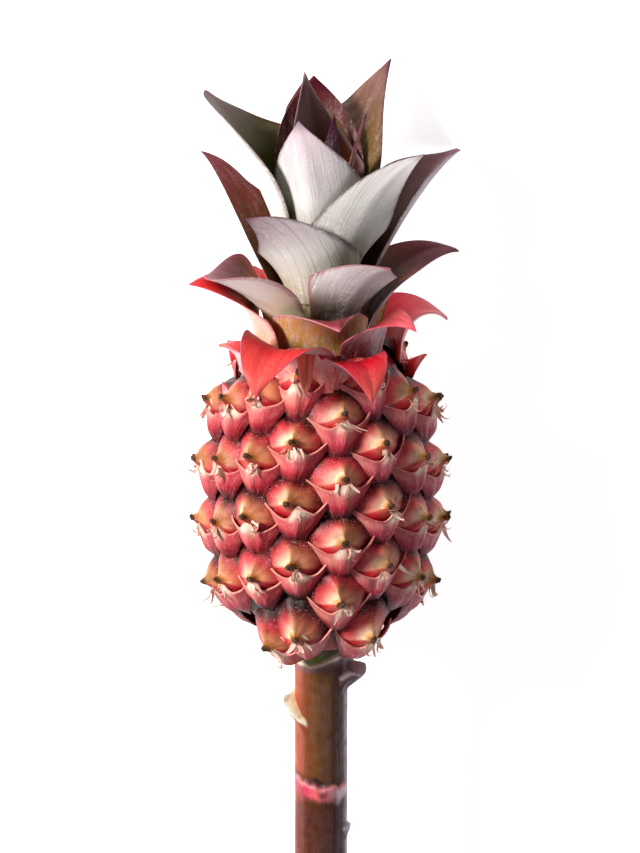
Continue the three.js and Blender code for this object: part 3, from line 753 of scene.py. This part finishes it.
def makeRind():
    # the rind between the eyes, a little inside the profile, closed at both ends
    distance = np.linspace(0, skinLength, rind["rows"])[:, None]
    azimuth = -np.arange(rind["sides"])[None] * 360 / rind["sides"]
    fromEnd = np.minimum(distance, skinLength - distance)
    proud = rind["uneven"] * wavering(distance, azimuth / 8, 4, 6, 1.5)
    proud = proud - rind["inside"] * smooth(fromEnd / rind["endReach"])
    points = skinPoint(azimuth, distance, proud)[None]
    paint = gradient(distance / skinLength + 0 * azimuth, rind["paint"])
    return makePiece("fruitRind", points, tubeFaces(1, rind["rows"], rind["sides"]), "fruit_rind",
                     eyeSkinMaterial, paint, ["fruit"], dust=0 * (distance + azimuth))


# Crown leaves and shoulder bracts

crown = {
    "turnPerRank": 360 * 5 / 13, "spiralStart": 9, "bractRankStep": 1.02, "coreHeight": 20,
    "coreTipRadius": 1.6, "coreRankStep": 1.2, "seatGap": 0.3, "thickness": 0.7, "sheathHalfAngle": 55,
    "sheathShare": 0.8, "channelRate": 1.4, "tipThinning": 0.75, "marginThinning": 0.72, "widestWrap": 2.6,
    # steps of the midrib to each row, how near its tip is drawn, and how close leaves lie, in mm
    "fineSteps": 6, "lastShare": 0.9985, "tuckClearance": 0.25, "tuckReach": 7, "tuckFade": 2,
}
crownFoot = fruit["stalkLength"] + fruit["length"]


def azimuthOf(rank):
    return wrapped(crown["spiralStart"] - crown["turnPerRank"] * rank)


def rootOf(rank):
    # on the fruit's shoulder below rank 0, on the crown's core above it
    if rank < 0:
        height = skinHeight(skinLength + crown["bractRankStep"] * rank)
        return float(barrelRadius(height)), fruit["stalkLength"] + height
    height = crownFoot + crown["seatGap"] + crown["coreRankStep"] * rank
    share = min(1, (height - crownFoot) / crown["coreHeight"])
    return mix(fruit["topRadius"], crown["coreTipRadius"], share), height


def bladeSheet(leaf, rows, cols):
    # a channelled leaf: the midrib leans from the axis by lean0 to lean1 degrees and turns sideways
    # by sweep, and each cross-section is an arc that opens from the core's curve to the channel's
    radius, foot = rootOf(leaf["rank"])
    azimuth = azimuthOf(leaf["rank"]) + leaf["shift"]
    outward, sideways = onAxis(azimuth, 1.0, 0.0), onAxis(azimuth + 90, 1.0, 0.0)
    up = np.array([0.0, 1.0, 0.0])
    fine = crown["fineSteps"] * (rows - 1)
    t = np.linspace(0, 1, fine + 1)
    t[-1] = crown["lastShare"]

    def heading(at):
        lean = np.radians(mix(leaf["lean"][0], leaf["lean"][1], at ** leaf["bend"]))[:, None]
        turn = np.radians(leaf["sweep"] * at)[:, None]
        away = outward * np.cos(turn) + sideways * np.sin(turn)
        return away * np.sin(lean) + up * np.cos(lean), sideways * np.cos(turn) - outward * np.sin(turn)

    middles, _ = heading((t[1:] + t[:-1]) / 2)
    walk = np.concatenate([[[0, 0, 0]], np.cumsum(middles, 0)]) * leaf["length"] / fine
    place = (onAxis(azimuth, radius + crown["thickness"], foot) + walk)[::crown["fineSteps"]]
    t = t[::crown["fineSteps"]]
    along, across = heading(t)
    twist = np.radians(leaf["twist"] * t)[:, None]
    across = across * np.cos(twist) + np.cross(along, across) * np.sin(twist)
    inward = np.cross(along, across)

    sheath = min(leaf["width"] * crown["sheathShare"], radius * math.radians(crown["sheathHalfAngle"]))
    belly = mix(sheath, leaf["width"], smooth(t / leaf["belly"]))
    past = np.clip((t - leaf["belly"]) / (1 - leaf["belly"]), 0, 1)
    halfWidth = belly * (1 - past ** leaf["point"])
    curve = mix(radius + crown["thickness"], leaf["channel"], smooth(t * crown["channelRate"]))[:, None]
    s = np.linspace(-1, 1, cols)[None]
    s = np.sign(s) * (1 - (1 - np.abs(s)) ** 1.25)  # columns gather at the margins
    wave = 1 + leaf["ruffle"] * np.sin(9 * t[:, None] + 3 * leaf["rank"] + np.sign(s))
    angle = np.clip(s * halfWidth[:, None] * wave / curve, -crown["widestWrap"], crown["widestWrap"])
    thick = crown["thickness"] * mix(1, crown["tipThinning"], t[:, None])
    thick = thick * (1 - crown["marginThinning"] * np.abs(s) ** 3)
    thick = np.minimum(thick, 0.25 + 0.5 * halfWidth[:, None])

    def sheet(depth):
        return (place[:, None] + across[:, None] * ((curve - depth) * np.sin(angle))[..., None]
                + inward[:, None] * (curve - (curve - depth) * np.cos(angle))[..., None])

    fold = leaf["fold"] * bell(s / 0.25) * smooth(t[:, None] * 4) * smooth((1 - t[:, None]) * 3)
    outer, inner = sheet(-fold), sheet(thick - fold)
    normal = across[:, None] * np.sin(angle)[..., None] - inward[:, None] * np.cos(angle)[..., None]
    return {"outer": outer, "inner": inner, "normal": normal, "t": t[:, None] + 0 * s,
            "s": s + 0 * t[:, None], "span": halfWidth[:, None] * s,
            "walk": t[:, None] * leaf["length"] + 0 * s}


def tuckUnder(sheet, placed):
    # lays a leaf just inside each leaf placed before it: where a point stands outside the nearest
    # point of such a leaf, it moves back through it, less and less towards that leaf's margins
    for other in placed:
        spots = other["inner"][::3, ::2].reshape(-1, 3)
        facing = other["normal"][::3, ::2].reshape(-1, 3)
        weight = (smooth((1 - np.abs(other["s"][::3, ::2])) / 0.3)
                  * smooth((1 - other["t"][::3, ::2]) / 0.12)).reshape(-1)
        points = sheet["outer"].reshape(-1, 3)
        gap = ((points[:, None] - spots[None]) ** 2).sum(-1)
        nearest = gap.argmin(1)
        away = np.sqrt(gap[np.arange(len(points)), nearest])
        close = smooth((crown["tuckReach"] - away) / crown["tuckFade"])
        outside = ((points - spots[nearest]) * facing[nearest]).sum(-1) + crown["tuckClearance"]
        push = np.maximum(0, outside) * weight[nearest] * close
        shift = (facing[nearest] * -push[:, None]).reshape(sheet["outer"].shape)
        for step in range(4):  # evened out over neighbouring rows
            shift[1:-1] = (shift[:-2] + 2 * shift[1:-1] + shift[2:]) / 4
            shift[:, 1:-1] = (shift[:, :-2] + 2 * shift[:, 1:-1] + shift[:, 2:]) / 4
        sheet["outer"] = sheet["outer"] + shift
        sheet["inner"] = sheet["inner"] + shift


bladeDefaults = {
    "bract": {"width": 6, "lean": [35, 100], "bend": 1, "sweep": 0, "twist": 0, "belly": 0.25,
              "point": 1.15, "channel": 16, "shift": 0, "ruffle": 0.03, "fold": 0.25,
              "outer": [(0.86, 0.4, 0.36), (0.9, 0.72, 0.74), (0.86, 0.4, 0.46)],
              "inner": [(0.72, 0.2, 0.12), (0.92, 0.2, 0.24), (0.95, 0.42, 0.36)],
              "margin": (0.8, 0.28, 0.38), "chalk": [0.6, 0.08]},
    "leaf": {"width": 10, "lean": [12, 55], "bend": 1.6, "sweep": 0, "twist": 0, "belly": 0.36,
             "point": 1.25, "channel": 10, "shift": 0, "ruffle": 0.012, "fold": 0.2,
             "outer": [(0.6, 0.56, 0.42), (0.78, 0.75, 0.73), (0.62, 0.5, 0.56)],
             "inner": [(0.36, 0.38, 0.08), (0.38, 0.24, 0.14), (0.46, 0.22, 0.3)],
             "margin": (0.3, 0.1, 0.17), "chalk": [0.9, 0.12]},
}

bracts = [
    {"name": "bract_left_side_low", "rank": -15, "length": 8, "width": 4.5, "lean": [24, 24],
     "shift": 14},
    {"name": "bract_back_low", "rank": -12, "length": 10, "lean": [20, 70]},
    {"name": "bract_right_side_low", "rank": -11, "length": 7, "width": 5, "lean": [12, 70],
     "shift": 14},
    {"name": "bract_front_left_curled", "rank": -10, "length": 28, "width": 10, "channel": 13,
     "belly": 0.3, "point": 1.4, "lean": [-10, 184], "bend": 1.2, "sweep": -8, "twist": -18,
     "shift": 27, "inner": [(0.62, 0.05, 0.07), (0.84, 0.1, 0.14), (0.93, 0.36, 0.32)]},
    {"name": "bract_back_middle", "rank": -9, "length": 12, "lean": [20, 80]},
    {"name": "bract_front_right_curled", "rank": -8, "length": 19, "width": 7.5, "channel": 13.5,
     "belly": 0.3, "lean": [-5, 201], "bend": 1.1, "sweep": 12, "twist": 9, "shift": -18,
     "inner": [(0.55, 0.02, 0.07), (0.82, 0.05, 0.16), (0.93, 0.4, 0.36)]},
    {"name": "bract_left_side_high", "rank": -7, "length": 7.5, "width": 7, "channel": 8, "belly": 0.4,
     "point": 1, "lean": [-5, 100], "bend": 1.3, "sweep": -14, "shift": 20},
    {"name": "bract_right_side_high", "rank": -6, "length": 18, "width": 12, "channel": 14,
     "belly": 0.3, "point": 1.35, "lean": [8, 140], "bend": 1.4, "sweep": -19, "twist": 8,
     "shift": -1, "inner": [(0.7, 0.08, 0.1), (0.95, 0.2, 0.28), (0.85, 0.35, 0.38)]},
    {"name": "bract_front_curled", "rank": -5, "length": 15.5, "width": 6.5, "lean": [17, 187],
     "bend": 1.1, "sweep": 6, "shift": 11,
     "inner": [(0.62, 0.03, 0.08), (0.85, 0.1, 0.18), (0.93, 0.5, 0.4)],
     "outer": [(0.8, 0.45, 0.5), (0.92, 0.78, 0.8), (0.9, 0.7, 0.74)]},
    {"name": "bract_back_high", "rank": -4, "length": 14, "lean": [25, 85]},
    {"name": "bract_front_right_high", "rank": -3, "length": 23, "width": 6.5, "point": 1,
     "lean": [16, 122], "bend": 1.3, "twist": 42, "shift": -29,
     "outer": [(0.45, 0.1, 0.08), (0.8, 0.68, 0.74), (0.82, 0.62, 0.68)],
     "inner": [(0.32, 0.08, 0.05), (0.5, 0.12, 0.1), (0.88, 0.35, 0.4)]},
]

lowOuter = [(0.84, 0.62, 0.34), (0.88, 0.78, 0.78), (0.7, 0.45, 0.55)]
lowInner = [(0.74, 0.52, 0.14), (0.66, 0.24, 0.16), (0.88, 0.28, 0.3)]
leaves = [
    {"name": "leaf_left_low", "rank": -2, "length": 23.5, "width": 9, "channel": 15, "belly": 0.35,
     "point": 1.05, "lean": [6, 102], "bend": 1.5, "sweep": -5, "twist": -35, "shift": 6,
     "outer": [(0.95, 0.66, 0.5), (0.96, 0.86, 0.84), (0.92, 0.6, 0.62)], "margin": (0.86, 0.36, 0.42),
     "chalk": [0.7, 0.05], "inner": [(0.7, 0.36, 0.04), (0.6, 0.12, 0.06), (0.9, 0.18, 0.2)]},
    {"name": "leaf_back_right_low", "rank": -1, "length": 21, "width": 9, "lean": [20, 62], "bend": 1.1,
     "outer": lowOuter, "inner": lowInner},
    {"name": "leaf_front_low", "rank": 0, "length": 18, "width": 11.5, "channel": 12.5, "belly": 0.25,
     "point": 1, "lean": [14, 117], "bend": 1.2, "sweep": 26, "twist": -2, "shift": -9,
     "margin": (0.84, 0.5, 0.56), "inner": [(0.22, 0.08, 0.05), (0.3, 0.06, 0.08), (0.66, 0.24, 0.28)],
     "outer": [(0.78, 0.58, 0.26), (0.95, 0.7, 0.46), (0.95, 0.86, 0.9)], "chalk": [0.7, 0.05]},
    {"name": "leaf_back_left_low", "rank": 1, "length": 15, "belly": 0.35, "lean": [16, 45],
     "bend": 1.1, "outer": lowOuter, "inner": lowInner},
    {"name": "leaf_right_low", "rank": 2, "length": 28.5, "channel": 16.5, "belly": 0.35, "point": 1,
     "lean": [12, 112], "bend": 1.4, "sweep": 13, "twist": 26, "shift": 13,
     "outer": [(0.6, 0.45, 0.45), (0.84, 0.76, 0.8), (0.7, 0.5, 0.56)],
     "inner": [(0.3, 0.19, 0.02), (0.38, 0.13, 0.08), (0.52, 0.17, 0.23)], "chalk": [0.8, 0.03]},
    {"name": "leaf_front_left_low", "rank": 3, "length": 20.5, "width": 14.5, "channel": 18,
     "belly": 0.6, "point": 2, "lean": [38, 80], "bend": 1.8, "sweep": -36, "twist": -1, "shift": -9,
     "margin": (0.66, 0.34, 0.4), "outer": [(0.98, 0.88, 0.6), (0.99, 0.95, 0.9), (0.92, 0.87, 0.9)],
     "inner": [(0.6, 0.34, 0.05), (0.42, 0.18, 0.13), (0.55, 0.3, 0.35)], "chalk": [0.85, 0.1]},
    {"name": "leaf_back_middle", "rank": 4, "length": 48, "width": 12.5, "channel": 9.5, "belly": 0.55,
     "point": 1.9, "lean": [6, 7], "sweep": 9, "twist": -5, "shift": 9,
     "inner": [(0.36, 0.26, 0.14), (0.46, 0.27, 0.2), (0.36, 0.1, 0.14)], "chalk": [0.8, 0.35]},
    {"name": "leaf_front_right_middle", "rank": 5, "length": 21.5, "width": 10.5, "channel": 14,
     "belly": 0.35, "point": 1.05, "lean": [26, 83], "bend": 1.3, "sweep": -5, "twist": -27,
     "shift": -2,
     "margin": (0.62, 0.34, 0.4), "outer": [(0.5, 0.42, 0.36), (0.9, 0.87, 0.88), (0.95, 0.9, 0.92)]},
    {"name": "leaf_left_middle", "rank": 6, "length": 39, "width": 4.5, "channel": 15, "belly": 0.25,
     "point": 1.6, "lean": [17, 83], "bend": 2.4, "sweep": -38, "twist": -39, "shift": -3,
     "outer": [(0.8, 0.6, 0.5), (0.84, 0.7, 0.7), (0.6, 0.35, 0.38)],
     "inner": [(0.34, 0.2, 0.05), (0.34, 0.14, 0.1), (0.36, 0.14, 0.17)], "chalk": [0.8, 0.06]},
    {"name": "leaf_right_middle", "rank": 7, "length": 43, "channel": 9.5, "belly": 0.6, "point": 1.7,
     "lean": [31, 87], "bend": 2.3, "sweep": 30, "twist": -13, "shift": -3,
     "outer": [(0.6, 0.5, 0.5), (0.84, 0.78, 0.8), (0.7, 0.55, 0.6)],
     "inner": [(0.2, 0.11, 0.06), (0.32, 0.15, 0.12), (0.4, 0.16, 0.22)], "chalk": [0.8, 0.03]},
    {"name": "leaf_front_left_middle", "rank": 8, "length": 24.5, "width": 14.5, "channel": 18,
     "belly": 0.2, "point": 1, "lean": [15, 75], "bend": 1.5, "sweep": -55, "twist": 57, "shift": -5,
     "outer": [(0.76, 0.72, 0.62), (0.9, 0.89, 0.88), (0.72, 0.6, 0.66)]},
    {"name": "leaf_back_left_high", "rank": 9, "length": 44.5, "width": 12, "channel": 10.5,
     "belly": 0.4, "point": 1.45, "lean": [13, 45], "sweep": -4, "shift": -13,
     "inner": [(0.42, 0.25, 0.05), (0.5, 0.26, 0.08), (0.38, 0.14, 0.09)], "chalk": [0.8, 0.04]},
    {"name": "leaf_front_right_high", "rank": 10, "length": 38, "width": 9, "channel": 18,
     "belly": 0.3, "point": 1, "lean": [22, 63], "bend": 1.5, "sweep": 25, "twist": -61, "shift": -33,
     "outer": [(0.6, 0.57, 0.52), (0.87, 0.87, 0.85), (0.94, 0.92, 0.93)]},
    {"name": "leaf_left_high", "rank": 11, "length": 43.5, "width": 14, "channel": 17, "belly": 0.5,
     "point": 2, "lean": [18, 61], "bend": 2.4, "sweep": -44, "twist": 20, "shift": -20,
     "outer": [(0.84, 0.8, 0.74), (0.96, 0.95, 0.93), (0.86, 0.8, 0.82)],
     "inner": [(0.3, 0.42, 0.01), (0.31, 0.31, 0.05), (0.38, 0.24, 0.22)], "chalk": [0.9, 0.01]},
    {"name": "leaf_back_right_high", "rank": 12, "length": 46.5, "width": 12, "channel": 18,
     "belly": 0.35, "point": 1, "lean": [17, 42], "bend": 1.3, "sweep": -33, "twist": 17, "shift": 14,
     "inner": [(0.3, 0.3, 0.03), (0.42, 0.3, 0.13), (0.52, 0.36, 0.36)], "chalk": [0.8, 0.16]},
    {"name": "leaf_front_high", "rank": 13, "length": 33, "width": 11, "channel": 11.5, "belly": 0.5,
     "point": 1.5, "lean": [25, 14], "bend": 1, "sweep": -40, "twist": 14, "shift": -13, "fold": 0.9,
     "outer": [(0.5, 0.47, 0.4), (0.9, 0.89, 0.88), (0.82, 0.74, 0.78)]},
    {"name": "leaf_back_left_inner", "rank": 14, "length": 37.5, "width": 10.5, "channel": 15,
     "belly": 0.5, "point": 1, "lean": [0, 20], "sweep": 12, "twist": 24, "shift": -32,
     "margin": (0.6, 0.5, 0.52), "inner": [(0.2, 0.1, 0.02), (0.3, 0.13, 0.06), (0.33, 0.14, 0.16)],
     "outer": [(0.36, 0.22, 0.12), (0.3, 0.13, 0.08), (0.34, 0.16, 0.18)], "chalk": [0.05, 0.01]},
    {"name": "leaf_right_inner", "rank": 15, "length": 29, "width": 5, "lean": [8, 18],
     "outer": [(0.4, 0.3, 0.3), (0.52, 0.4, 0.42), (0.45, 0.16, 0.28)], "chalk": [0.4, 0.2]},
    {"name": "leaf_left_inner", "rank": 16, "length": 28, "width": 4, "lean": [4, 10], "shift": 75,
     "outer": [(0.35, 0.25, 0.25), (0.42, 0.3, 0.36), (0.35, 0.12, 0.24)], "chalk": [0.3, 0.2]},
]


def paintBlade(leaf, sheet):
    # along each face three colours blend from foot to tip, and the margins and the tip take the
    # margin's colour
    t, s = sheet["t"], np.abs(sheet["s"])
    edge = smooth((s - 0.87) / 0.13) * smooth(t / 0.25)
    end = smooth((t - 0.9) / 0.1)
    faces = []
    for face, stops, strength in (("outer", (0.12, 0.5, 0.95), 0.85), ("inner", (0.25, 0.6, 0.95), 0.6)):
        colour = gradient(t + 0.06 * wavering(sheet["span"] / 2, sheet["walk"] / 5, leaf["rank"] + 40),
                          list(zip(stops, leaf[face])))
        faces.append(over(colour, leaf["margin"], np.clip(strength * edge + 0.6 * end, 0, 1)))
    return np.stack(faces)


def makeBlades(name, entries, kind, slot, material, rows, cols, placed):
    # every leaf of a kind as one closed sheet each, joined in one piece
    points, paints, grains, dusts = [], [], [], []
    for entry in entries:
        leaf = {**bladeDefaults[kind], **entry}
        sheet = bladeSheet(leaf, rows, cols)
        tuckUnder(sheet, placed)
        placed.append(sheet)
        points.append(np.stack([sheet["outer"], sheet["inner"]]))
        paints.append(paintBlade(leaf, sheet))
        grain = np.stack([sheet["span"], sheet["walk"], 0 * sheet["t"] + 9.7 * leaf["rank"]], -1)
        grains.append(np.stack([grain, grain + [0, 0, 4.2]]))
        fade = smooth((0.97 - sheet["t"]) / 0.2)
        dusts.append(np.stack([leaf["chalk"][0] * fade, leaf["chalk"][1] * fade]))
    return makePiece(name, np.stack(points), sheetFaces(len(entries), rows, cols), slot, material,
                     np.stack(paints), [entry["name"] for entry in entries],
                     grain=np.stack(grains), dust=np.stack(dusts))


# Stalk

stalk = {
    "length": 59.7, "radius": 5.5, "uneven": 0.1, "ribs": 0.05, "ribCount": 11, "sides": 128, "rows": 300,
    "freshFrom": 56.2, "freshRise": 1.2, "darkBelow": 29, "dust": 0.04, "rightDustAndSheen": 0.4,
    # colours by degrees around the stem: its skin, brighter rust on its left and darker to its right,
    # partly its own colour and partly painted light and shade, with a purple-grey painted sheen on its
    # right; and its fresh top, green, with cream on its left that is partly its own colour and partly a
    # painted highlight, and darker olive to its right as painted shade
    "skin": [
        (-180, (0.38, 0.2, 0.12)), (-75, (0.72, 0.3, 0.14)), (-50, (0.58, 0.24, 0.1)),
        (-28, (0.42, 0.24, 0.09)), (5, (0.38, 0.25, 0.09)), (38, (0.28, 0.13, 0.08)),
        (80, (0.4, 0.28, 0.34)), (180, (0.38, 0.2, 0.12))],
    "fresh": [
        (-80, (0.93, 0.8, 0.72)), (-38, (0.92, 0.84, 0.62)), (-26, (0.5, 0.66, 0.16)),
        (-8, (0.42, 0.52, 0.1)), (15, (0.26, 0.24, 0.1)), (60, (0.3, 0.2, 0.2))],
    # colours laid over, each with the most of it
    "dark": ((0.26, 0.06, 0.08), 0.65), "shadedHole": ((0.06, 0.02, 0.04), 1.4), "holeDepth": 0.7,
}
# Torn bract collars: height, how far round they go, how far out they stand, how the crest dips in
# its middle and slopes round the stalk, and the colours of the crest and of both its sides. A band
# is torn skin below the crest: how far down it goes, and its colours by degrees around the stem.
scars = [
    {"height": 31, "middle": -5, "spread": 95, "out": 0.9, "length": 6, "dip": -1.8, "slope": -0.018,
     "ragged": 0.8, "crest": (0.84, 0.5, 0.52), "above": (0.1, 0.05, 0.05), "below": (0.42, 0.08, 0.16),
     "band": 3.8, "bandColours": [
         (-90, (0.74, 0.14, 0.3)), (-40, (0.82, 0.2, 0.36)), (-12, (0.93, 0.4, 0.42)),
         (14, (0.8, 0.42, 0.44)), (36, (0.86, 0.72, 0.76)), (90, (0.84, 0.78, 0.84))]},
    {"height": 47, "middle": -75, "spread": 50, "out": 2.6, "length": 4.2, "dip": 0, "slope": -0.1,
     "ragged": 0.7, "crest": (0.96, 0.92, 0.82), "above": (0.7, 0.58, 0.26), "below": (0.6, 0.26, 0.12)},
    {"height": 54, "middle": 82, "spread": 46, "out": 4.2, "length": 5, "dip": 0, "slope": 0.05,
     "ragged": 1.1, "crest": (0.78, 0.7, 0.72), "above": (0.3, 0.2, 0.2), "below": (0.4, 0.26, 0.32)},
    {"height": 57, "middle": -10, "spread": 95, "out": 0.7, "length": 4, "dip": -0.6, "slope": 0.02,
     "ragged": 0.3, "crest": (0.93, 0.86, 0.74), "above": (0.36, 0.4, 0.08), "below": (0.42, 0.34, 0.42)},
    {"height": 19, "middle": 90, "spread": 40, "out": 0.8, "length": 4, "dip": 0, "slope": 0,
     "ragged": 0.3, "crest": (0.85, 0.8, 0.84), "above": (0.4, 0.24, 0.2), "below": (0.55, 0.42, 0.46)},
]


def makeStalk():
    # radius = stem + each collar, which rises slowly from below and breaks off at its ragged crest
    azimuth, height = np.broadcast_arrays(
        -np.arange(stalk["sides"])[None] * 360 / stalk["sides"],
        (np.linspace(0, 1, stalk["rows"]) * stalk["length"])[:, None])
    turnX, turnY = np.sin(np.radians(azimuth)), np.cos(np.radians(azimuth))
    radius = stalk["radius"] + stalk["uneven"] * wavering(3 * turnX + 2 * turnY, height / 9, 12)
    radius = radius + stalk["ribs"] * np.cos(np.radians(azimuth) * stalk["ribCount"] + height / 30)
    side = halfTurn(np.radians(azimuth))
    degrees = np.degrees(side)
    # brighter on the left and darker on the right: partly the stem's own colour, partly painted light and
    # shade
    paint = gradient(degrees, stalk["skin"])
    paint = lay(paint, stalk["dark"], smooth((stalk["darkBelow"] - height) / 5))
    # pale chalk on the right side: partly real scurf, partly a painted sheen
    dust = smooth((degrees - 48) / 30) * smooth((170 - degrees) / 40)
    dust = stalk["dust"] + stalk["rightDustAndSheen"] * dust
    freshFrom = stalk["freshFrom"] + stalk["freshRise"] * smooth((degrees + 20) / 60)
    fresh = smooth((height - freshFrom) / 0.5)
    # the fresh top's cream left is partly a painted highlight, its darker right partly painted shade
    paint = mix(paint, gradient(degrees, stalk["fresh"]), fresh[..., None])
    for k, scar in enumerate(scars):
        turn = wrapped(azimuth - scar["middle"])
        around = smooth(1 - np.abs(turn) / scar["spread"])
        torn = scar["ragged"] * wavering(turn / 9, 0 * turn, 50 + k, 6, 3.0)
        crest = scar["height"] + scar["dip"] * (1 - np.abs(turn) / scar["spread"]) + torn
        crest = crest + scar["slope"] * np.maximum(turn, -12)
        above = (height - crest) / scar["length"]
        wall = np.where(above < 0, smooth(1 + above) ** 1.5, smooth(1 - above * 7))
        radius = radius + scar["out"] * wall * around * (1 + 0.35 * torn)
        mask = smooth(around / 0.12)
        paint = over(paint, scar["below"], 0.8 * mask * smooth(1 + 1.6 * above) * (above < 0))
        paint = over(paint, scar["above"], 0.8 * mask * smooth(1 - above * 3) * (above >= 0))
        if "band" in scar:
            blotch = wavering(turn / 7, height / 1.2, 70, 7, 3.0)
            deep = scar["band"] * (1 + 0.55 * wavering(turn / 16, 0 * turn, 71, 6, 3.0))
            down = (crest - height) / deep
            share = mask * smooth((1 - down) / 0.5) * (down > 0) * smooth(0.9 + 1.1 * blotch)
            paint = mix(paint, gradient(degrees + 14 * blotch, scar["bandColours"]), share[..., None])
            # a near-black spot in a shallow dent: painted shade that stands for the depth of a hole
            shadedHole = bell((degrees + 6) / 11) * bell((height - crest - 0.9) / 0.9)
            holeColour, holeMost = stalk["shadedHole"]
            paint = over(paint, holeColour, np.clip(holeMost * shadedHole, 0, 1))
            radius = radius - stalk["holeDepth"] * shadedHole
        paint = over(paint, scar["crest"], mask * bell(above * scar["length"] / 0.45))
    points = onAxis(azimuth, radius, height)[None]
    grain = np.stack([side * stalk["radius"], height, 0 * height], -1)
    return makePiece("stalkSkin", points, tubeFaces(1, stalk["rows"], stalk["sides"]), "stalk",
                     stalkSkinMaterial, paint, ["stalk"], grain=grain, dust=dust)


eyeSkinMaterial = eyeSkin()
lipSkinMaterial = lipSkin()
paperSkinMaterial = paperSkin()
driedSkinMaterial = driedSkin()
stalkSkinMaterial = stalkSkin()
bractMaterial = leafSkin("bractSkin", (0.95, 0.86, 0.88), 0.38)
leafMaterial = leafSkin("crownLeafSkin", (0.93, 0.92, 0.92), 0.5)
coreMaterial = coreSkin()
print("materials ready")

makeRind()
makeDomes()
makeLips()
makeScraps()
makeDriedTips()
makeStalk()
placedBlades = []
makeBlades("shoulderBracts", bracts, "bract", "bract", bractMaterial, 40, 21, placedBlades)
makeBlades("crownLeaves", leaves, "leaf", "crown_leaf", leafMaterial, 64, 25, placedBlades)

coreNode = frame["nodes"]["crown_core"]
coreNode.data.materials.clear()
coreNode.data.materials.append(coreMaterial)

# Floor, lights and camera

studio = {
    "floorSize": 6.0, "floorColour": (0.97, 0.97, 0.97), "floorGlow": 0.78,
    "worldColour": (1.0, 1.0, 1.0), "worldStrength": 0.08,
    # each light: where it stands from the plant's middle in metres, its size, watts and colour
    "lights": {
        "keyLight": {"at": (-0.82, 0.4, 0.6), "size": 0.3, "watts": 18, "colour": (1.0, 0.96, 0.92)},
        "fillLight": {"at": (0.35, -0.35, 0.95), "size": 0.6, "watts": 2.0, "colour": (0.97, 0.93, 1.0)},
    },
    "target": (-0.2, 107, 6), "elevation": 14, "distance": 480, "focal": 2400, "imageHeight": 853,
}


def makeFloor():
    half = studio["floorSize"] / 2
    mesh = bpy.data.meshes.new("floor")
    corners = [(-half, -half, 0), (half, -half, 0), (half, half, 0), (-half, half, 0)]
    mesh.from_pydata(corners, [], [(0, 1, 2, 3)])
    floor = bpy.data.objects.new("floor", mesh)
    bpy.context.scene.collection.objects.link(floor)
    paleFloor = Finish("paleFloor", 0.7, 0.2)
    tone = paleFloor.blend(shade(studio["floorColour"]), shade((0.94, 0.94, 0.95)),
                           paleFloor.between(paleFloor.noise(paleFloor.place, 3, 2), 0.3, 0.7))
    paleFloor.shader.inputs["Emission Color"].default_value = (1, 1, 1, 1)
    paleFloor.shader.inputs["Emission Strength"].default_value = studio["floorGlow"]
    mesh.materials.append(paleFloor.finish(tone))


def aim(thing, target, up):
    # turns a camera or light to look at a point, with the given way up
    back = (np.array(thing.location) - target)
    back = back / np.linalg.norm(back)
    right = np.cross(up, back)
    right = right / np.linalg.norm(right)
    upright = np.cross(back, right)
    thing.rotation_euler = Matrix(np.stack([right, upright, back], 1).tolist()).to_euler()


def makeStudio():
    makeFloor()
    middle = toWorld(np.array(studio["target"], float))
    for name, light in studio["lights"].items():
        data = bpy.data.lights.new(name, "AREA")
        data.shape = "DISK"
        data.size, data.energy, data.color = light["size"], light["watts"], light["colour"]
        lamp = bpy.data.objects.new(name, data)
        lamp.location = middle + np.array(light["at"])
        bpy.context.scene.collection.objects.link(lamp)
        aim(lamp, middle, np.array([0.0, 0.0, 1.0]))
    world = bpy.data.worlds.new("paleRoom")
    world.use_nodes = True
    background = world.node_tree.nodes["Background"]
    background.inputs["Color"].default_value = (*studio["worldColour"], 1)
    background.inputs["Strength"].default_value = studio["worldStrength"]
    bpy.context.scene.world = world
    bpy.context.scene.view_settings.view_transform = "Standard"
    camera = bpy.data.objects.new("camera", bpy.data.cameras.new("camera"))
    tilt = math.radians(studio["elevation"])
    towards = np.array([0, math.sin(tilt), math.cos(tilt)])
    camera.location = toWorld(np.array(studio["target"]) + studio["distance"] * towards)
    camera.data.sensor_width = 36
    camera.data.lens = 36 * studio["focal"] / studio["imageHeight"]
    camera.data.clip_start, camera.data.clip_end = 0.01, 20
    bpy.context.scene.collection.objects.link(camera)
    aim(camera, middle, lieTurn @ np.array([0.0, 1.0, 0.0]))
    bpy.context.scene.camera = camera


makeStudio()
print("studio ready")
